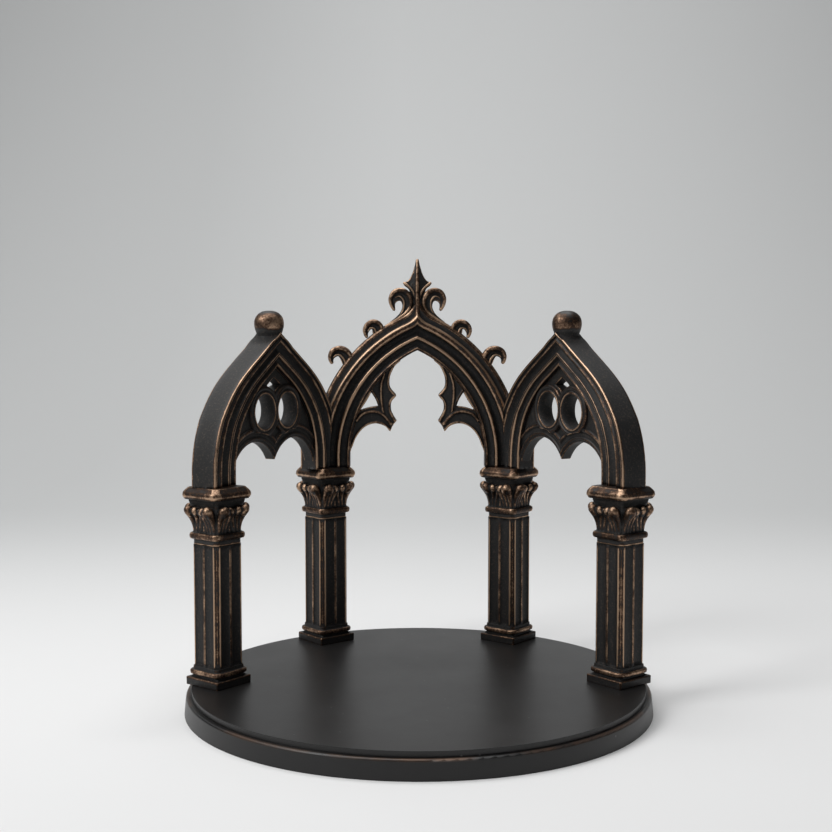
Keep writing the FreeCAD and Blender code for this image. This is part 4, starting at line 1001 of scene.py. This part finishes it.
def satin_black_resin():
    """Moulded resin sprayed satin black: soft sheen, a few dust motes, lip rubbed with bronze."""
    material, tree = new_material("satin_black_resin")
    place = add(tree, "ShaderNodeTexCoord").outputs["Object"]
    axes = add(tree, "ShaderNodeSeparateXYZ", {0: place}).outputs
    mist = add(tree, "ShaderNodeTexNoise", {"Vector": place},
               {"Scale": 1 / (14 * MM), "Detail": 4.0, "Roughness": 0.6}).outputs["Fac"]
    peel = add(tree, "ShaderNodeTexNoise", {"Vector": place},
               {"Scale": 1 / (0.5 * MM), "Detail": 3.0}).outputs["Fac"]
    motes = add(tree, "ShaderNodeTexVoronoi", {"Vector": place},
                {"Scale": 1 / (4.5 * MM), "Randomness": 1.0}).outputs["Distance"]
    speck = add(tree, "ShaderNodeMapRange", {"Value": motes},
                {"From Min": 0.035, "From Max": 0.06, "To Min": 1.0,
                 "To Max": 0.0}).outputs["Result"]
    # How far a place is from the lip, which is a ring round the base.
    flat = add(tree, "ShaderNodeCombineXYZ", {"X": axes["X"], "Y": axes["Y"]}).outputs[0]
    radius = add(tree, "ShaderNodeVectorMath", {0: flat}, operation="LENGTH").outputs["Value"]
    outward = add(tree, "ShaderNodeMath", {0: radius}, {1: LIP_RADIUS * MM},
                  operation="SUBTRACT").outputs[0]
    upward = add(tree, "ShaderNodeMath", {0: axes["Z"]}, {1: LIP_HEIGHT * MM},
                 operation="SUBTRACT").outputs[0]
    off = add(tree, "ShaderNodeCombineXYZ", {"X": outward, "Y": upward}).outputs[0]
    away = add(tree, "ShaderNodeVectorMath", {0: off}, operation="LENGTH").outputs["Value"]
    lip = add(tree, "ShaderNodeMapRange", {"Value": away},
              {"From Min": 0.15 * MM, "From Max": 0.6 * MM, "To Min": 0.6,
               "To Max": 0.0}).outputs["Result"]
    patchy = add(tree, "ShaderNodeMapRange", {"Value": mist},
                 {"From Min": 0.45, "From Max": 0.62}).outputs["Result"]
    rub = add(tree, "ShaderNodeMath", {0: lip, 1: patchy}, operation="MULTIPLY").outputs[0]
    paint = add(tree, "ShaderNodeValToRGB", {"Fac": mist},
                stops=((0.3, "#0f0e0e"), (0.7, "#151414"))).outputs["Color"]
    dusty = add(tree, "ShaderNodeMix", {"Factor": speck, "A": paint}, {"B": colour("#4a4948")},
                data_type="RGBA").outputs["Result"]
    rubbed = add(tree, "ShaderNodeMix", {"Factor": rub, "A": dusty}, {"B": colour("#6a5242")},
                 data_type="RGBA").outputs["Result"]
    rough = add(tree, "ShaderNodeMapRange", {"Value": mist},
                {"To Min": 0.33, "To Max": 0.45}).outputs["Result"]
    bump = add(tree, "ShaderNodeBump", {"Height": peel},
               {"Strength": 0.2, "Distance": 0.02 * MM}).outputs[0]
    shader = add(tree, "ShaderNodeBsdfPrincipled",
                 {"Base Color": rubbed, "Roughness": rough, "Metallic": rub, "Normal": bump})
    add(tree, "ShaderNodeOutputMaterial", {"Surface": shader.outputs[0]})
    return material


def turned_steel():
    """Plain steel of the tie rods and dowels, lightly scuffed."""
    material, tree = new_material("turned_steel")
    place = add(tree, "ShaderNodeTexCoord").outputs["Object"]
    scuff = add(tree, "ShaderNodeTexNoise", {"Vector": place},
                {"Scale": 1 / (0.6 * MM), "Detail": 3.0}).outputs["Fac"]
    tint = add(tree, "ShaderNodeValToRGB", {"Fac": scuff},
               stops=((0.3, "#8d8d8f"), (0.7, "#b4b4b6"))).outputs["Color"]
    rough = add(tree, "ShaderNodeMapRange", {"Value": scuff},
                {"To Min": 0.25, "To Max": 0.45}).outputs["Result"]
    bump = add(tree, "ShaderNodeBump", {"Height": scuff},
               {"Strength": 0.2, "Distance": 0.02 * MM}).outputs[0]
    shader = add(tree, "ShaderNodeBsdfPrincipled",
                 {"Base Color": tint, "Roughness": rough, "Normal": bump}, {"Metallic": 1.0})
    add(tree, "ShaderNodeOutputMaterial", {"Surface": shader.outputs[0]})
    return material


def studio_paper_painted_falloff():
    """Matt paper sweep of the studio, white underfoot, with painted shade that greys it up the
    wall and to its left.
    """
    material, tree = new_material("studio_paper_painted_falloff")
    place = add(tree, "ShaderNodeTexCoord").outputs["Object"]
    fibre = add(tree, "ShaderNodeTexNoise", {"Vector": place},
                {"Scale": 1 / (9 * MM), "Detail": 2.0}).outputs["Fac"]
    axes = add(tree, "ShaderNodeSeparateXYZ", {0: place}).outputs
    # Painted shade: the colour darkens towards the back and up the wall, and towards the left,
    # standing in for the light's falloff.
    back = add(tree, "ShaderNodeMapRange", {"Value": axes["Y"]},
               {"From Min": -30 * MM, "From Max": 320 * MM},
               interpolation_type="SMOOTHSTEP").outputs["Result"]
    left = add(tree, "ShaderNodeMapRange", {"Value": axes["X"]},
               {"From Min": -10 * MM, "From Max": -200 * MM, "To Max": 0.2}).outputs["Result"]
    painted_falloff = add(tree, "ShaderNodeMath", {0: back, 2: left}, {1: 0.82},
               operation="MULTIPLY_ADD").outputs[0]
    painted_shade = add(tree, "ShaderNodeMath", {0: fibre, 2: painted_falloff}, {1: 0.01},
                operation="MULTIPLY_ADD").outputs[0]
    # White paper at the first stop; the greyer stops are painted shade.
    tint = add(tree, "ShaderNodeValToRGB", {"Fac": painted_shade},
               stops=((0.0, "#dedede"), (0.8, "#b2b3b3"), (1.0, "#a6a7a7"))).outputs["Color"]
    shader = add(tree, "ShaderNodeBsdfPrincipled", {"Base Color": tint}, {"Roughness": 0.9})
    add(tree, "ShaderNodeOutputMaterial", {"Surface": shader.outputs[0]})
    return material


# ---- studio ------------------------------------------------------------------------------------

def make_sweep():
    """Floor that curves up into a wall behind the object."""
    turn = np.linspace(0, math.pi / 2, 24)
    bend = [(WALL - SWEEP_RADIUS * (1 - math.sin(a)), SWEEP_RADIUS * (1 - math.cos(a)))
            for a in turn]
    line = [(-SWEEP_FRONT, 0), *bend, (WALL, SWEEP_HIGH)]
    across = np.linspace(-SWEEP_HALF, SWEEP_HALF, 5)
    rows = np.array([(x, y, z) for y, z in line for x in across])
    faces = grid_faces(len(line), len(across), closed_across=False)
    mesh = mesh_from("studio_sweep", rows, faces)
    sweep = bpy.data.objects.new("studio_sweep", mesh)
    bpy.context.scene.collection.objects.link(sweep)
    mesh.materials.append(studio_paper_painted_falloff())


def soft_light(name, place, target, size, power):
    lamp = bpy.data.lights.new(name, "AREA")
    lamp.shape = "RECTANGLE"
    lamp.size, lamp.size_y = size[0] * MM, size[1] * MM
    lamp.energy = power
    obj = bpy.data.objects.new(name, lamp)
    obj.location = Vector(place) * MM
    obj.rotation_euler = (Vector(target) - Vector(place)).to_track_quat("-Z", "Y").to_euler()
    bpy.context.scene.collection.objects.link(obj)


def make_studio():
    make_sweep()
    world = bpy.data.worlds.new("studio_air")
    bpy.context.scene.world = world
    world.use_nodes = True
    back = world.node_tree.nodes["Background"]
    back.inputs["Color"].default_value = colour("#e6e8ea")
    back.inputs["Strength"].default_value = 0.12
    soft_light("overhead_softbox", (-180, 80, 760), (-20, 40, 0), (1000, 900), 6.4)
    soft_light("left_softbox", (-520, -300, 460), (0, 0, 40), (260, 320), 2.2)
    soft_light("wall_softbox", (0, 300, 900), (0, 1100, 420), (600, 300), 6.4)
    scene = bpy.context.scene
    scene.view_settings.view_transform = "Standard"
    lens = bpy.data.cameras.new("camera")
    lens.lens, lens.sensor_width = CAMERA_LENS, 36.0
    lens.clip_start, lens.clip_end = 0.01, 20.0
    camera = bpy.data.objects.new("camera", lens)
    camera.location = Vector(CAMERA_PLACE) * MM
    camera.rotation_euler = (math.radians(90 - CAMERA_DIP), 0, math.radians(-CAMERA_SWING))
    scene.collection.objects.link(camera)
    scene.camera = camera


# ---- build -------------------------------------------------------------------------------------

bronze = blackened_cast_bronze()
capital = capital_skin()
for number in range(4):
    make_foot(number, bronze)
    make_shaft(number, bronze)
    make_capital(number, capital, bronze)
    make_slab(number, bronze)
for number in range(3):
    make_ring(number, bronze)
for number in (0, 2):
    make_tracery(number, bronze)
    make_ball(number, bronze)
for hand, side_name in ((-1, "left"), (1, "right")):
    make_cusp(hand, side_name, bronze)
    make_crocket(hand, side_name, "low", LOW_CROCKET, bronze)
    make_crocket(hand, side_name, "high", HIGH_CROCKET, bronze)
make_spear(bronze)

steel = turned_steel()
for node, finish in (("base_plate", satin_black_resin()), ("tie_rods", steel),
                     ("arch_dowels", steel)):
    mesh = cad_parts[node].data
    mesh.materials.clear()
    mesh.materials.append(finish)

make_studio()
